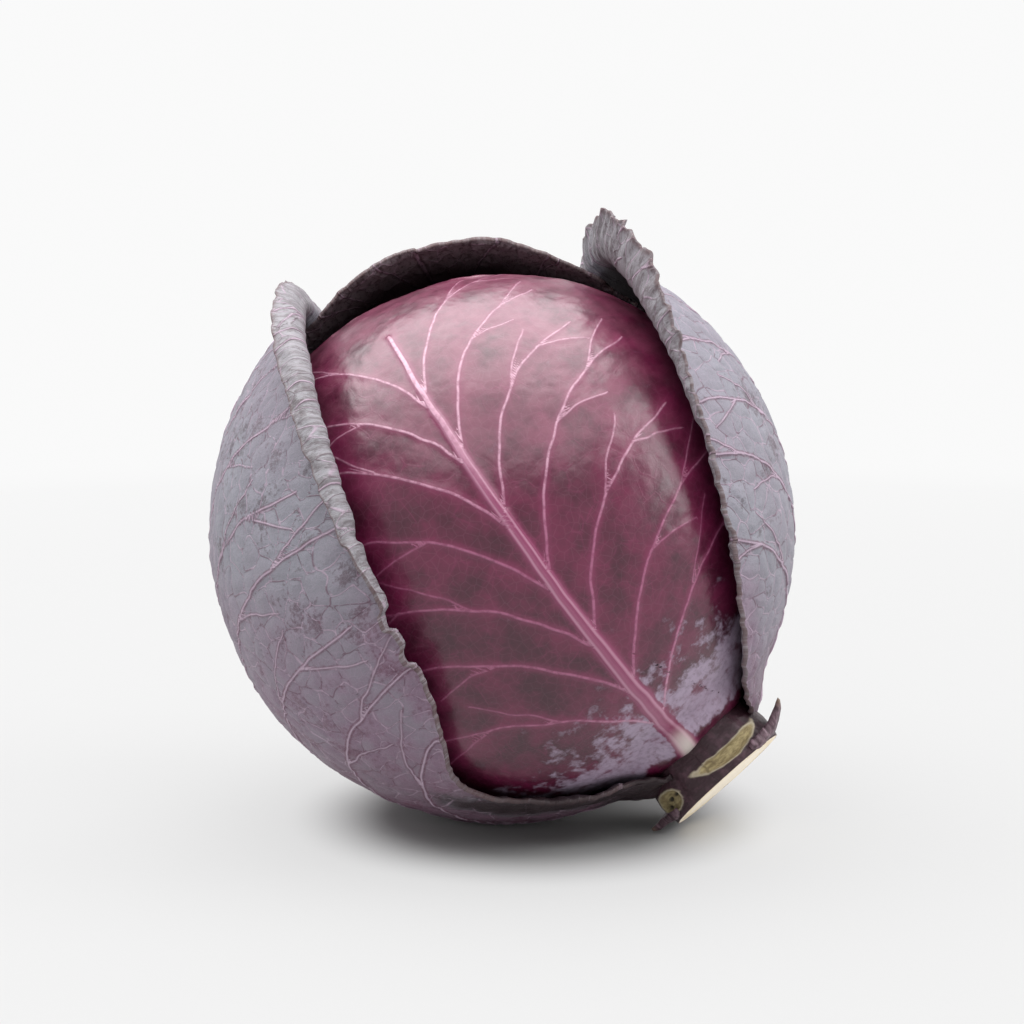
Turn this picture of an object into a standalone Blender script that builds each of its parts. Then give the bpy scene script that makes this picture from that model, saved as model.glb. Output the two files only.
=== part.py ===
"""A red cabbage head that lies on its side: the tight head, the leaf wrapped over its front, three loose
outer leaves, the cut stem, and the stubs of two leaves that were trimmed off it.

Every leaf is a thin closed shell. It is laid out round its own centre direction: an angle round that
centre (0 at the tip, about 180 at the stem) and a reach, the angle out from it. A leaf's reach, rise and
lip, and the stem's profile, are in degrees and millimetres; everything else is in metres.
"""

from typing import NamedTuple

import bpy
import numpy as np

# The head: a ball whose centre is HEAD_HEIGHT above the floor, with the stem to the lower right.
HEAD_RADIUS = 0.0710
HEAD_HEIGHT = 0.0773
STEM_AXIS = (0.675, -0.200, -0.711)
OUTER_LEAN = (-0.0020, 0.0, 0.0015)

# The stem: (distance from the head's centre, radius) in mm along the stem's axis, ending at the cut.
STEM_PROFILE = ((72.6, 15.6), (75.0, 16.9), (78.0, 17.7), (82.0, 18.2), (86.0, 18.3), (88.2, 17.8))
STEM_SIDES = 32
STEM_CLEARANCE = 15.2
CUT_TILT = 0.0020

# Leaf shells
BLADE_RINGS = 9
LIP_RINGS = 2
RISE_POWER = 4
RIB_WIDTH = 11.0
BASE_RISE = 0.0024
BASE_RISE_WIDTH = 7.0
FLOOR_CUT = 0.200
MM = 0.001


class Course(NamedTuple):
    """A value that goes round a leaf: one level, and a few swells, each (angle, spread, gain)."""

    level: float
    swells: tuple = ()


class Leaf(NamedTuple):
    """One leaf. Round its rim go its reach in degrees, its rise and the width of its turned lip in mm."""

    name: str
    centre: tuple
    tip: tuple
    radius: float
    leans: bool
    thickness: float
    rib_thickness: float
    lip_turn: float
    colour: tuple
    reach: Course
    rise: Course
    lip: Course


FRONT_HEAD_LEAF = Leaf(
    name="front_head_leaf",
    centre=(-0.05, -0.99, 0.08),
    tip=(-0.55, 0.0, 0.84),
    radius=0.0732,
    leans=False,
    thickness=0.0013,
    rib_thickness=0.0014,
    lip_turn=10.0,
    colour=(0.13, 0.012, 0.045, 1.0),
    reach=Course(84),
    rise=Course(0),
    lip=Course(1.5),
)

# Its tip stands up as a low rim behind the top of the head, and its neck runs down to the stem.
BACK_LEAF = Leaf(
    name="back_leaf",
    centre=(-0.05, 0.98, 0.05),
    tip=(-0.30, 0.0, 0.95),
    radius=0.0744,
    leans=False,
    thickness=0.0012,
    rib_thickness=0.0015,
    lip_turn=30.0,
    colour=(0.07, 0.035, 0.05, 1.0),
    reach=Course(68, swells=((0, 40, 12), (205, 22, 30))),
    rise=Course(0, swells=((0, 34, 9),)),
    lip=Course(1.5, swells=((0, 40, 0.5), (205, 25, -0.6))),
)

# A broad cupped tip, a waist in front where the head shows, and a neck that runs down to the stem.
LOWER_LEFT_LEAF = Leaf(
    name="lower_left_leaf",
    centre=(-0.78, 0.12, -0.60),
    tip=(-0.67, -0.02, 0.74),
    radius=0.0800,
    leans=True,
    thickness=0.0014,
    rib_thickness=0.0026,
    lip_turn=60.0,
    colour=(0.20, 0.17, 0.23, 1.0),
    reach=Course(64, swells=((15, 80, 23), (120, 16, -8), (165, 22, 31))),
    rise=Course(0, swells=((0, 45, 2.6),)),
    lip=Course(1.8, swells=((20, 48, 5.5), (165, 25, -0.8))),
)

# A tip with a wide lip turned out, and a short base cut back where it passes the stem.
RIGHT_LEAF = Leaf(
    name="right_leaf",
    centre=(0.93, 0.33, 0.05),
    tip=(0.30, 0.15, 0.94),
    radius=0.0800,
    leans=True,
    thickness=0.0013,
    rib_thickness=0.0022,
    lip_turn=55.0,
    colour=(0.24, 0.18, 0.25, 1.0),
    reach=Course(59, swells=((325, 55, 10), (205, 40, -11))),
    rise=Course(0, swells=((355, 35, 4.5),)),
    lip=Course(2.0, swells=((350, 32, 12.5), (205, 40, -1.0))),
)

LEAVES = (FRONT_HEAD_LEAF, BACK_LEAF, LOWER_LEFT_LEAF, RIGHT_LEAF)


class Stub(NamedTuple):
    """What is left of a trimmed leaf: where it stands round the stem, how wide it is, and where its tip is."""

    name: str
    middle: float
    half_width: float
    root: float
    tip_distance: float
    tip_radius: float
    tip_side: float


UPPER_STUB = Stub("upper_leaf_stub", 66.0, 27.0, 84.6, 80.8, 26.4, 0.45)
LOWER_STUB = Stub("lower_leaf_stub", -78.0, 30.0, 83.8, 84.2, 24.2, -0.30)
STUB_GAP = 0.0004
STUB_THICKNESS = 0.0026
STUB_COLUMNS = 8
STUB_ROWS = 3
STUB_SHOULDER = 0.22
STUB_POINT_POWER = 0.7
STUB_NARROWING = 0.25
STUB_TAPER = 0.5

# The tight head's ball, and the finishes
HEAD_COLUMNS = 26
HEAD_ROWS = 14
SHARP_ANGLE = 45.0
HEAD_COLOUR = (0.16, 0.02, 0.06, 1.0)
STEM_COLOUR = (0.62, 0.55, 0.38, 1.0)
STUB_COLOUR = (0.12, 0.06, 0.09, 1.0)
ROUGHNESS = 0.5


def unit(vector):
    """Scale a vector, or a row of vectors, to length 1."""
    vector = np.asarray(vector, float)
    return vector / np.linalg.norm(vector, axis=-1, keepdims=True)


def around(angle, course):
    """Read a course at any angle round its leaf: the level, with each swell's share of its gain there."""
    value = np.full(np.shape(angle), float(course.level))
    for middle, spread, gain in course.swells:
        off = np.mod(angle - middle + 180.0, 360.0) - 180.0
        value = value + gain * np.exp(-(off / spread) ** 2)
    return value


def square_to_rings(rings):
    """Lay a square grid out as rings: each grid point's ring number and its angle round the centre."""
    steps = np.arange(-rings, rings + 1, dtype=float)
    across, up = np.meshgrid(steps, steps)
    ring = np.maximum(abs(across), abs(up))
    by_side = abs(across) >= abs(up)
    slant = np.where(by_side, up / np.where(across == 0, 1, across), across / np.where(up == 0, 1, up))
    angle = np.where(by_side, 45.0 * slant, 90.0 - 45.0 * slant)
    opposite = np.where(by_side, across < 0, up < 0)
    return ring, np.mod(angle + np.where(opposite, 180.0, 0.0), 360.0)


def leaf_axes(leaf):
    """The leaf's centre direction, the way to its tip, and the way to its side."""
    centre = unit(leaf.centre)
    tip = unit(leaf.tip)
    tipward = unit(tip - centre * (tip @ centre))
    return centre, tipward, np.cross(tipward, centre)


def leaf_reach(leaf, angle):
    """How far out the leaf's rim lies at an angle round it, held clear of the stem."""
    centre, tipward, sideward = leaf_axes(leaf)
    stem = unit(STEM_AXIS)
    stem_reach = np.degrees(np.arccos(stem @ centre))
    stem_angle = np.degrees(np.arctan2(stem @ sideward, stem @ tipward))
    off = (np.mod(angle - stem_angle + 180.0, 360.0) - 180.0) * np.sin(np.radians(stem_reach))
    near = abs(off) < STEM_CLEARANCE
    stop = stem_reach - np.sqrt(np.where(near, STEM_CLEARANCE ** 2 - off ** 2, 0.0))
    reach = around(angle, leaf.reach)
    return np.where(near, np.minimum(reach, stop), reach)


def leaf_surface(leaf, ring, angle):
    """Points and outward normals of the leaf's outer face, from the head's centre."""
    centre, tipward, sideward = leaf_axes(leaf)
    rim = leaf_reach(leaf, angle)
    share = np.minimum(ring / BLADE_RINGS, 1.0)
    reach = np.radians(rim * share)[..., None]
    turn = np.radians(angle)[..., None]
    outward = np.cos(turn) * tipward + np.sin(turn) * sideward
    direction = np.cos(reach) * centre + np.sin(reach) * outward
    tangent = np.cos(reach) * outward - np.sin(reach) * centre
    radius = leaf.radius + around(angle, leaf.rise) * MM * share ** RISE_POWER
    if leaf.leans:
        radius = radius + direction @ np.array(OUTER_LEAN)
    from_stem = np.degrees(np.arccos(np.clip(direction @ unit(STEM_AXIS), -1, 1)))
    radius = radius + BASE_RISE * np.exp(-((from_stem - STEM_CLEARANCE) / BASE_RISE_WIDTH) ** 2)
    width = around(angle, leaf.lip)[..., None] * MM
    end = np.radians(leaf.lip_turn)
    lip = np.clip((ring - BLADE_RINGS) / LIP_RINGS, 0.0, 1.0)[..., None]
    bend = end * lip
    point = radius[..., None] * direction
    point = point + width / end * (np.sin(bend) * tangent + (1 - np.cos(bend)) * direction)
    normal = np.cos(bend) * direction - np.sin(bend) * tangent
    rib = np.exp(-(rim * share * np.sin(np.radians(angle)) / RIB_WIDTH) ** 2) * (np.cos(np.radians(angle)) < 0)
    thickness = leaf.thickness + (leaf.rib_thickness - leaf.thickness) * rib * share
    return point, normal, thickness[..., None]


def material(name, colour):
    """A plain finish in the piece's colour."""
    finish = bpy.data.materials.new(name)
    finish.use_nodes = True
    shader = finish.node_tree.nodes["Principled BSDF"]
    shader.inputs["Base Color"].default_value = colour
    shader.inputs["Roughness"].default_value = ROUGHNESS
    shader.inputs["Metallic"].default_value = 0.0
    finish.diffuse_color = colour
    return finish


def add_piece(name, points, faces, colour, head):
    """Make one named piece under the head's empty, shaded smooth."""
    mesh = bpy.data.meshes.new(name)
    mesh.from_pydata([tuple(point) for point in points], [], faces)
    mesh.materials.append(material(name, colour))
    mesh.shade_smooth()
    mesh.set_sharp_from_angle(angle=np.radians(SHARP_ANGLE))
    piece = bpy.data.objects.new(name, mesh)
    bpy.context.collection.objects.link(piece)
    piece.parent = head
    return piece


def shell_faces(rows, columns):
    """Faces of a closed shell: an outer grid, an inner grid after it, and the rim between them."""
    size = rows * columns
    faces = []
    for row in range(rows - 1):
        for column in range(columns - 1):
            corner = row * columns + column
            quad = (corner, corner + 1, corner + columns + 1, corner + columns)
            faces.append(quad)
            faces.append(tuple(size + index for index in reversed(quad)))
    rim = list(range(columns))
    rim += [row * columns + columns - 1 for row in range(1, rows)]
    rim += [size - 2 - column for column in range(columns - 1)]
    rim += [row * columns for row in range(rows - 2, 0, -1)]
    for here, there in zip(rim, rim[1:] + rim[:1]):
        faces.append((there, here, size + here, size + there))
    return faces


def add_leaf(leaf, head):
    """A leaf as a closed shell, thicker along its rib."""
    rings = BLADE_RINGS + LIP_RINGS
    ring, angle = square_to_rings(rings)
    point, normal, thickness = leaf_surface(leaf, ring, angle)
    outer = point.reshape(-1, 3)
    inner = (point - normal * thickness).reshape(-1, 3)
    side = 2 * rings + 1
    faces = shell_faces(side, side)
    corner, along, beyond = (outer[index] for index in faces[0][:3])
    if np.cross(along - corner, beyond - corner) @ corner < 0:
        faces = [tuple(reversed(face)) for face in faces]
    return add_piece(leaf.name, np.concatenate((outer, inner)), faces, leaf.colour, head)


def stem_axes():
    """The stem's axis, the way from it to the front, and the way to the upper right."""
    axis = unit(STEM_AXIS)
    front = unit(np.array((0.0, -1.0, 0.0)) + axis * axis[1])
    return axis, front, np.cross(axis, front) * np.sign(np.cross(axis, front)[2])


def round_stem(distance, radius, angle):
    """A point beside the stem's axis: distance along it, radius from it, angle round it from the front."""
    axis, front, upper = stem_axes()
    turn = np.radians(angle)[..., None]
    side = np.cos(turn) * front + np.sin(turn) * upper
    return distance[..., None] * axis + radius[..., None] * side


def stem_radius(distance):
    """The stem's radius at a distance from the head's centre, both in metres."""
    return np.interp(distance / MM, *zip(*STEM_PROFILE)) * MM


def add_head(head):
    """The tight head: the ball of closely packed inner leaves."""
    turn = np.linspace(0.0, 2 * np.pi, HEAD_COLUMNS, endpoint=False)
    tilt = np.linspace(0.0, np.pi, HEAD_ROWS + 1)[1:-1]
    tilts, turns = np.meshgrid(tilt, turn, indexing="ij")
    points = np.stack((np.sin(tilts) * np.cos(turns), np.sin(tilts) * np.sin(turns), np.cos(tilts)), axis=-1)
    points = np.concatenate((points.reshape(-1, 3), ((0, 0, 1), (0, 0, -1)))) * HEAD_RADIUS
    faces = tube_faces(len(tilt), HEAD_COLUMNS)
    top, bottom = len(points) - 2, len(points) - 1
    last = (len(tilt) - 1) * HEAD_COLUMNS
    for column in range(HEAD_COLUMNS):
        beside = (column + 1) % HEAD_COLUMNS
        faces.append((top, column, beside))
        faces.append((bottom, last + beside, last + column))
    return add_piece("tight_head", points, faces, HEAD_COLOUR, head)


def tube_faces(rows, columns):
    """Faces of a tube whose rows of points run round it, the first row uppermost."""
    faces = []
    for row in range(rows - 1):
        for column in range(columns):
            here = row * columns + column
            beside = row * columns + (column + 1) % columns
            faces.append((here, here + columns, beside + columns, beside))
    return faces


def add_stem(head):
    """The cut stem: a short turned piece that ends in the flat cut face, a little shorter in front."""
    profile = np.array(STEM_PROFILE) * MM
    angles = np.linspace(0.0, -360.0, STEM_SIDES, endpoint=False)
    distances, turns = np.meshgrid(profile[:, 0], angles, indexing="ij")
    radii = np.repeat(profile[:, 1:], STEM_SIDES, axis=1)
    distances[-1] -= CUT_TILT * np.cos(np.radians(turns[-1]))
    points = round_stem(distances, radii, turns).reshape(-1, 3)
    faces = [tuple(reversed(face)) for face in tube_faces(len(profile), STEM_SIDES)]
    first = len(points) - STEM_SIDES
    faces.append(tuple(reversed(range(STEM_SIDES))))
    faces.append(tuple(range(first, first + STEM_SIDES)))
    return add_piece("stem", points, faces, STEM_COLOUR, head)


def add_stub(stub, head):
    """A trimmed leaf's stub: a short curved flap that springs from the stem's side and ends in one point."""
    across, out = np.meshgrid(np.linspace(-1, 1, 2 * STUB_COLUMNS + 1), np.linspace(0, 1, STUB_ROWS + 1))
    from_tip = np.clip(abs(across - stub.tip_side) / (1.0 + abs(stub.tip_side)), 0, 1)
    height = 1.0 - (1.0 - STUB_SHOULDER) * from_tip ** STUB_POINT_POWER
    gain = out * height
    root = stub.root * MM
    start = stem_radius(np.array(root)) + STUB_GAP
    distance = root + (stub.tip_distance * MM - root) * gain
    radius = start + (stub.tip_radius * MM - start) * gain
    angle = stub.middle + stub.half_width * across * (1 - STUB_NARROWING * gain)
    near = round_stem(distance, radius, angle).reshape(-1, 3)
    taper = 1.0 - STUB_TAPER * gain
    far = round_stem(distance + STUB_THICKNESS * taper, radius, angle).reshape(-1, 3)
    faces = shell_faces(STUB_ROWS + 1, 2 * STUB_COLUMNS + 1)
    corner, along, beyond = (near[index] for index in faces[0][:3])
    if np.cross(along - corner, beyond - corner) @ unit(STEM_AXIS) > 0:
        faces = [tuple(reversed(face)) for face in faces]
    return add_piece(stub.name, np.concatenate((near, far)), faces, STUB_COLOUR, head)


def flatten_underside(leaf):
    """Cut the leaf that the head lies on flat where it meets the floor."""
    half = FLOOR_CUT / 2
    corners = [(x * half, y * half, z) for z in (-half, 0.0) for x, y in ((-1, -1), (1, -1), (1, 1), (-1, 1))]
    sides = [(0, 1, 5, 4), (1, 2, 6, 5), (2, 3, 7, 6), (3, 0, 4, 7)]
    mesh = bpy.data.meshes.new("floor_cutter")
    mesh.from_pydata(corners, [], sides + [(3, 2, 1, 0), (4, 5, 6, 7)])
    cutter = bpy.data.objects.new("floor_cutter", mesh)
    bpy.context.collection.objects.link(cutter)
    cutter.hide_render = True
    cutter.display_type = "WIRE"
    cut = leaf.modifiers.new("flat_spot", "BOOLEAN")
    cut.operation = "DIFFERENCE"
    cut.solver = "EXACT"
    cut.object = cutter


def stand_on_origin(head, pieces):
    """Move the whole head so that the middle of its box, seen from above, is over the origin."""
    head.location = (0.0, 0.0, HEAD_HEIGHT)
    bpy.context.view_layer.update()
    corners = np.array([piece.matrix_world @ vertex.co for piece in pieces for vertex in piece.data.vertices])
    middle = (corners.min(axis=0) + corners.max(axis=0)) / 2
    head.location = (-middle[0], -middle[1], HEAD_HEIGHT)
    bpy.context.view_layer.update()


def main():
    """Build the cabbage head from an empty scene."""
    for item in list(bpy.data.objects):
        bpy.data.objects.remove(item, do_unlink=True)
    head = bpy.data.objects.new("head", None)
    bpy.context.collection.objects.link(head)
    leaves = {leaf.name: add_leaf(leaf, head) for leaf in LEAVES}
    stubs = [add_stub(stub, head) for stub in (UPPER_STUB, LOWER_STUB)]
    pieces = [*leaves.values(), *stubs, add_head(head), add_stem(head)]
    flatten_underside(leaves[LOWER_LEFT_LEAF.name])
    stand_on_origin(head, pieces)


main()
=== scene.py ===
"""A red cabbage head lying on its side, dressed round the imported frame.

The tight head, its glossy magenta wrapper leaf, three loose leaves under a grey waxy bloom, the cut stem
and two stubs of trimmed leaves are each grown as a fine mesh where the frame holds their plain solids.
Leaf outlines and veins are written on each leaf's own flat map: degrees across and degrees up from the
middle of the leaf, with the tip upwards. Everything else is in metres unless its name says otherwise.
"""

import logging
import math
from dataclasses import dataclass, field
from enum import Enum

import bpy
import numpy as np
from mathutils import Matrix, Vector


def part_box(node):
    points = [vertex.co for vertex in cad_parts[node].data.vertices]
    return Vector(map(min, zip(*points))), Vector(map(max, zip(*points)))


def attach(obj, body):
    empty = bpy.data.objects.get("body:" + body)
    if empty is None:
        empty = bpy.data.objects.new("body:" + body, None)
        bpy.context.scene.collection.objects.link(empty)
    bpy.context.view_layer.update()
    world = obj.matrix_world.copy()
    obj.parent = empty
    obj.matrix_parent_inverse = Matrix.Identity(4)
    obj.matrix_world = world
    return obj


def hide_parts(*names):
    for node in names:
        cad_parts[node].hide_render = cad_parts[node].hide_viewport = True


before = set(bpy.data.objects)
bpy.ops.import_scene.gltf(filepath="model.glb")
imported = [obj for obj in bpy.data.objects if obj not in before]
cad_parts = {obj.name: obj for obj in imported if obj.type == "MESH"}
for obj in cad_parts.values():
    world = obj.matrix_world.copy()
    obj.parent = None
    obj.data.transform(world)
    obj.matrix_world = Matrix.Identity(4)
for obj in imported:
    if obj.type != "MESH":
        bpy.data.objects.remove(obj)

LOG = logging.getLogger("cabbage")
MM = 0.001
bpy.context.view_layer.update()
BODY = "root"

Array = np.ndarray


def unit(vector: Array) -> Array:
    """Scale a vector, or rows of vectors, to length 1."""
    vector = np.asarray(vector, float)
    return vector / np.linalg.norm(vector, axis=-1, keepdims=True)


def ease(value: Array, low: float = 0.0, high: float = 1.0) -> Array:
    """Rise smoothly from 0 at low to 1 at high."""
    share = np.clip((np.asarray(value, float) - low) / (high - low), 0.0, 1.0)
    return share * share * (3.0 - 2.0 * share)


def mixed(low: Array, high: Array, share: Array) -> Array:
    """Blend from low to high."""
    return low + (high - low) * share


def tube_faces(rows: int, columns: int, first: int = 0) -> list[tuple[int, ...]]:
    """Faces of a tube whose rows of points run round it, numbered from the first point."""
    faces = []
    for row in range(rows - 1):
        for column in range(columns):
            here = first + row * columns + column
            beside = first + row * columns + (column + 1) % columns
            faces.append((here, here + columns, beside + columns, beside))
    return faces


def fan_faces(tip: int, ring: list[int]) -> list[tuple[int, ...]]:
    """Faces that close a ring of points on one tip."""
    return [(tip, here, there) for here, there in zip(ring, ring[1:] + ring[:1])]


def sheet_rim(rows: int, columns: int) -> list[int]:
    """The points round the edge of a sheet of rows, in order."""
    size = rows * columns
    rim = list(range(columns))
    rim += [row * columns + columns - 1 for row in range(1, rows)]
    rim += [size - 2 - column for column in range(columns - 1)]
    rim += [row * columns for row in range(rows - 2, 0, -1)]
    return rim


def faces_inward(face: tuple[int, ...], points: Array, way_out: Array) -> bool:
    """Say whether a face is wound so that it looks against the way out."""
    corner, along, beyond = (points[index] for index in face[:3])
    return bool(np.cross(along - corner, beyond - corner) @ way_out < 0)


def turned(faces: list) -> list[tuple[int, ...]]:
    """The same faces, looking the other way."""
    return [tuple(reversed(face)) for face in faces]


class Grain:
    """Smooth repeatable noise at points in space, from a hashed lattice."""

    @staticmethod
    def hashed(cell: Array, seed: int) -> Array:
        """Give each lattice cell a number from 0 to 1.

        Args:
            cell: Whole-number coordinates, with the axes in the last dimension.
            seed: Which pattern to use.

        Returns:
            One number per cell.
        """
        mixed_bits = np.full(cell.shape[:-1], seed * 374761393 + 1013904223, dtype=np.uint64)
        for axis, factor in zip(range(cell.shape[-1]), (668265263, 2246822519, 3266489917)):
            spread = cell[..., axis].astype(np.int64).astype(np.uint64) * factor
            mixed_bits = (mixed_bits ^ spread) & 0xFFFFFFFF
            mixed_bits = (mixed_bits ^ (mixed_bits >> 15)) * 2654435761 & 0xFFFFFFFF
        mixed_bits ^= mixed_bits >> 13
        return (mixed_bits & 0xFFFFFF) / float(0xFFFFFF)

    @classmethod
    def smooth(cls, points: Array, size: float, seed: int) -> Array:
        """Smooth noise from -1 to 1 with features of about the given size.

        Args:
            points: Rows of coordinates with one, two or three axes.
            size: Lattice spacing in the same unit.
            seed: Which pattern to use.

        Returns:
            One value per point.
        """
        place = np.asarray(points, float) / size + 0.37 * seed
        cell = np.floor(place)
        share = place - cell
        share = share * share * share * (share * (share * 6 - 15) + 10)
        axes = place.shape[-1]
        total = np.zeros(place.shape[:-1])
        for corner in range(2 ** axes):
            offset = np.array([corner >> axis & 1 for axis in range(axes)])
            weight = np.prod(np.where(offset == 1, share, 1 - share), axis=-1)
            total += weight * cls.hashed(cell + offset, seed)
        return total * 2 - 1

    @classmethod
    def layered(cls, points: Array, size: float, seed: int, layers: int = 3) -> Array:
        """Noise with finer layers added, each half as large and half as strong."""
        total = np.zeros(np.asarray(points).shape[:-1])
        for layer in range(layers):
            total += cls.smooth(points, size / 2 ** layer, seed + 17 * layer) / 2 ** layer
        return total / (2 - 0.5 ** (layers - 1))


class Side(Enum):
    """Which face of a leaf a finish is for."""

    OUTER = 0
    INNER = 1


@dataclass(frozen=True)
class Vein:
    """One vein drawn on a leaf's flat map."""

    points: tuple[tuple[float, float], ...]
    width_mm: tuple[float, float] = (0.9, 0.4)
    height: float = 0.3
    wander: float = 0.5

    def path(self, seed: int, step: float = 0.6) -> tuple[Array, Array]:
        """Sample the vein as a smooth curve.

        Args:
            seed: Which small wanderings it takes.
            step: Spacing of the samples in degrees.

        Returns:
            Map positions in degrees, and the width at each in mm.
        """
        knots = np.array(self.points, float)
        knots = np.concatenate((2 * knots[:1] - knots[1:2], knots, 2 * knots[-1:] - knots[-2:-1]))
        runs = []
        for a, b, c, d in zip(knots, knots[1:], knots[2:], knots[3:]):
            count = max(2, int(np.ceil(np.linalg.norm(c - b) / step)))
            u = (np.arange(count) / count)[:, None]
            runs.append(0.5 * (2 * b + (c - a) * u + (2 * a - 5 * b + 4 * c - d) * u ** 2
                               + (3 * b - a - 3 * c + d) * u ** 3))
        runs.append(knots[-2:-1])
        line = np.concatenate(runs)
        along = np.concatenate(([0], np.cumsum(np.linalg.norm(np.diff(line, axis=0), axis=1))))
        loose = self.wander * ease(along, 0, 6) * ease(along[-1] - along, -1, 3)
        for axis in range(2):
            line[:, axis] += loose * Grain.layered(along[:, None] + 31.7 * seed, 7.0, seed + 5 * axis, 2)
        return line, mixed(*self.width_mm, (along / along[-1]) ** 0.8)


@dataclass(frozen=True)
class CellNet:
    """The net of small veins: the borders of scattered cells on a leaf's flat map, in mm."""

    pitch: float
    seed: int
    loose: float = 0.42

    def measure(self, place: Array) -> tuple[Array, Array, Array]:
        """Measure points against the net.

        Args:
            place: Map positions in mm.

        Returns:
            The signed distance to the nearest border, its size, and a number from 0 to 1 for the cell.
        """
        warp = [Grain.layered(place, self.pitch * 1.6, self.seed + shift, 2) for shift in (1, 2)]
        place = place + np.stack(warp, axis=-1) * self.pitch * 0.45
        home = np.floor(place / self.pitch)
        shape = home.shape[:-1]
        first = np.full(shape, np.inf)
        second = np.full(shape, np.inf)
        near, next_near = np.zeros(shape + (2,)), np.zeros(shape + (2,))
        tag, next_tag = np.zeros(shape), np.zeros(shape)
        for across in (-2, -1, 0, 1, 2):
            for up in (-2, -1, 0, 1, 2):
                cell = home + (across, up)
                jitter = np.stack([Grain.hashed(cell, self.seed + shift) for shift in (3, 4)], axis=-1)
                mark = Grain.hashed(cell, self.seed + 5)
                seed_point = (cell + 0.5 + (jitter - 0.5) * 2 * self.loose) * self.pitch
                gap = np.linalg.norm(place - seed_point, axis=-1)
                closer = gap < first
                between = ~closer & (gap < second)
                second = np.where(closer, first, np.where(between, gap, second))
                runner_up = np.where(between[..., None], seed_point, next_near)
                next_near = np.where(closer[..., None], near, runner_up)
                next_tag = np.where(closer, tag, np.where(between, mark, next_tag))
                first = np.where(closer, gap, first)
                near = np.where(closer[..., None], seed_point, near)
                tag = np.where(closer, mark, tag)
        apart = np.maximum(np.linalg.norm(next_near - near, axis=-1), 1e-6)
        border = (second ** 2 - first ** 2) / (2 * apart)
        return border * np.sign(tag - next_tag), border, tag


@dataclass(frozen=True)
class RingSheet:
    """A square sheet of points laid out as rings, fine near the rim and coarse inside where it's hidden."""

    rings: int

    def layout(self) -> tuple[Array, Array]:
        """The ring number of each point, and its angle round the middle in degrees."""
        steps = np.arange(-self.rings, self.rings + 1, dtype=float)
        across, up = np.meshgrid(steps, steps)
        ring = np.maximum(abs(across), abs(up))
        by_side = abs(across) >= abs(up)
        slant = np.where(by_side, up / np.where(across == 0, 1, across), across / np.where(up == 0, 1, up))
        angle = np.where(by_side, 45.0 * slant, 90.0 - 45.0 * slant)
        opposite = np.where(by_side, across < 0, up < 0)
        return ring.ravel(), np.mod(angle + np.where(opposite, 180.0, 0.0), 360.0).ravel()

    def faces(self, fine_from: int, stride: int) -> list[tuple[int, ...]]:
        """Faces of the sheet, one point apart outside a ring and a stride apart inside it.

        Args:
            fine_from: The ring outside which every point is used, a multiple of stride.
            stride: Spacing of the points used inside it.

        Returns:
            Faces as tuples of point numbers, wound the same way.
        """
        size = 2 * self.rings + 1
        middle = self.rings

        def number(column: int, row: int) -> int:
            """The number of the point at a column and row counted from the middle."""
            return (row + middle) * size + column + middle

        steps = np.arange(-self.rings, self.rings)
        column, row = (grid.ravel() for grid in np.meshgrid(steps, steps))
        outside = np.maximum(abs(column + 0.5), abs(row + 0.5)) > fine_from
        corner = (row[outside] + middle) * size + column[outside] + middle
        faces = np.stack((corner, corner + 1, corner + size + 1, corner + size), axis=1).tolist()
        for up in range(-fine_from, fine_from, stride):
            for across in range(-fine_from, fine_from, stride):
                face = []
                for step in range(stride if up == -fine_from else 1):
                    face.append(number(across + step, up))
                for step in range(stride if across + stride == fine_from else 1):
                    face.append(number(across + stride, up + step))
                for step in range(stride if up + stride == fine_from else 1):
                    face.append(number(across + stride - step, up + stride))
                for step in range(stride if across == -fine_from else 1):
                    face.append(number(across, up + stride - step))
                faces.append(face)
        return faces

    def rim(self) -> list[int]:
        """The points round the edge in order."""
        return sheet_rim(2 * self.rings + 1, 2 * self.rings + 1)


# ---------------------------------------------------------------- shapes shared by the leaves

HEAD_MIDDLE = np.array([(low + high) / 2 for low, high in zip(*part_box("tight_head"))])
STEM_AXIS = unit((0.675, -0.200, -0.711))
STEM_CLEARANCE = 12.9
OUTER_LEAN = np.array((-0.0020, 0.0, 0.0015))
BASE_RISE = 0.0040
BASE_RISE_WIDTH = 5.0
RISE_POWER = 4
RIB_WIDTH = 11.0
FLOOR_GAP = 0.00002
WEAR_BALL_MM = 70.0


@dataclass(frozen=True)
class Course:
    """A value that goes round a leaf: one level, and a few swells, each (angle, spread, gain)."""

    level: float
    swells: tuple[tuple[float, float, float], ...] = ()

    def read(self, angle: Array) -> Array:
        """Read the value at any angle.

        Args:
            angle: Degrees round the leaf from its tip.

        Returns:
            The level, with each swell's share of its gain there.
        """
        value = np.full(np.shape(angle), float(self.level))
        for middle, spread, gain in self.swells:
            off = np.mod(angle - middle + 180.0, 360.0) - 180.0
            value = value + gain * np.exp(-(off / spread) ** 2)
        return value


@dataclass(frozen=True)
class Outline:
    """A leaf's rim: its reach in degrees, its rise and lip width in mm, and the lip's turn in degrees."""

    reach: Course
    rise: Course
    lip: Course
    turn: Course


@dataclass(frozen=True)
class Pleats:
    """How a leaf's margin is gathered: waves across the lip, scallops along its edge, and torn notches."""

    spacing_mm: float = 5.0
    depth_mm: float = 0.5
    slant: float = 0.0
    scallop_mm: float = 0.5
    notch_mm: float = 0.0
    ruffle_mm: float = 0.0


@dataclass(frozen=True)
class Relief:
    """How strongly a leaf's face is worked, in mm."""

    swell_mm: float = 0.5
    swell_size_mm: float = 22.0
    quilt_mm: float = 0.3
    vein_mm: float = 0.35
    pucker_mm: float = 0.5
    settle_mm: float = 0.5


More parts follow.
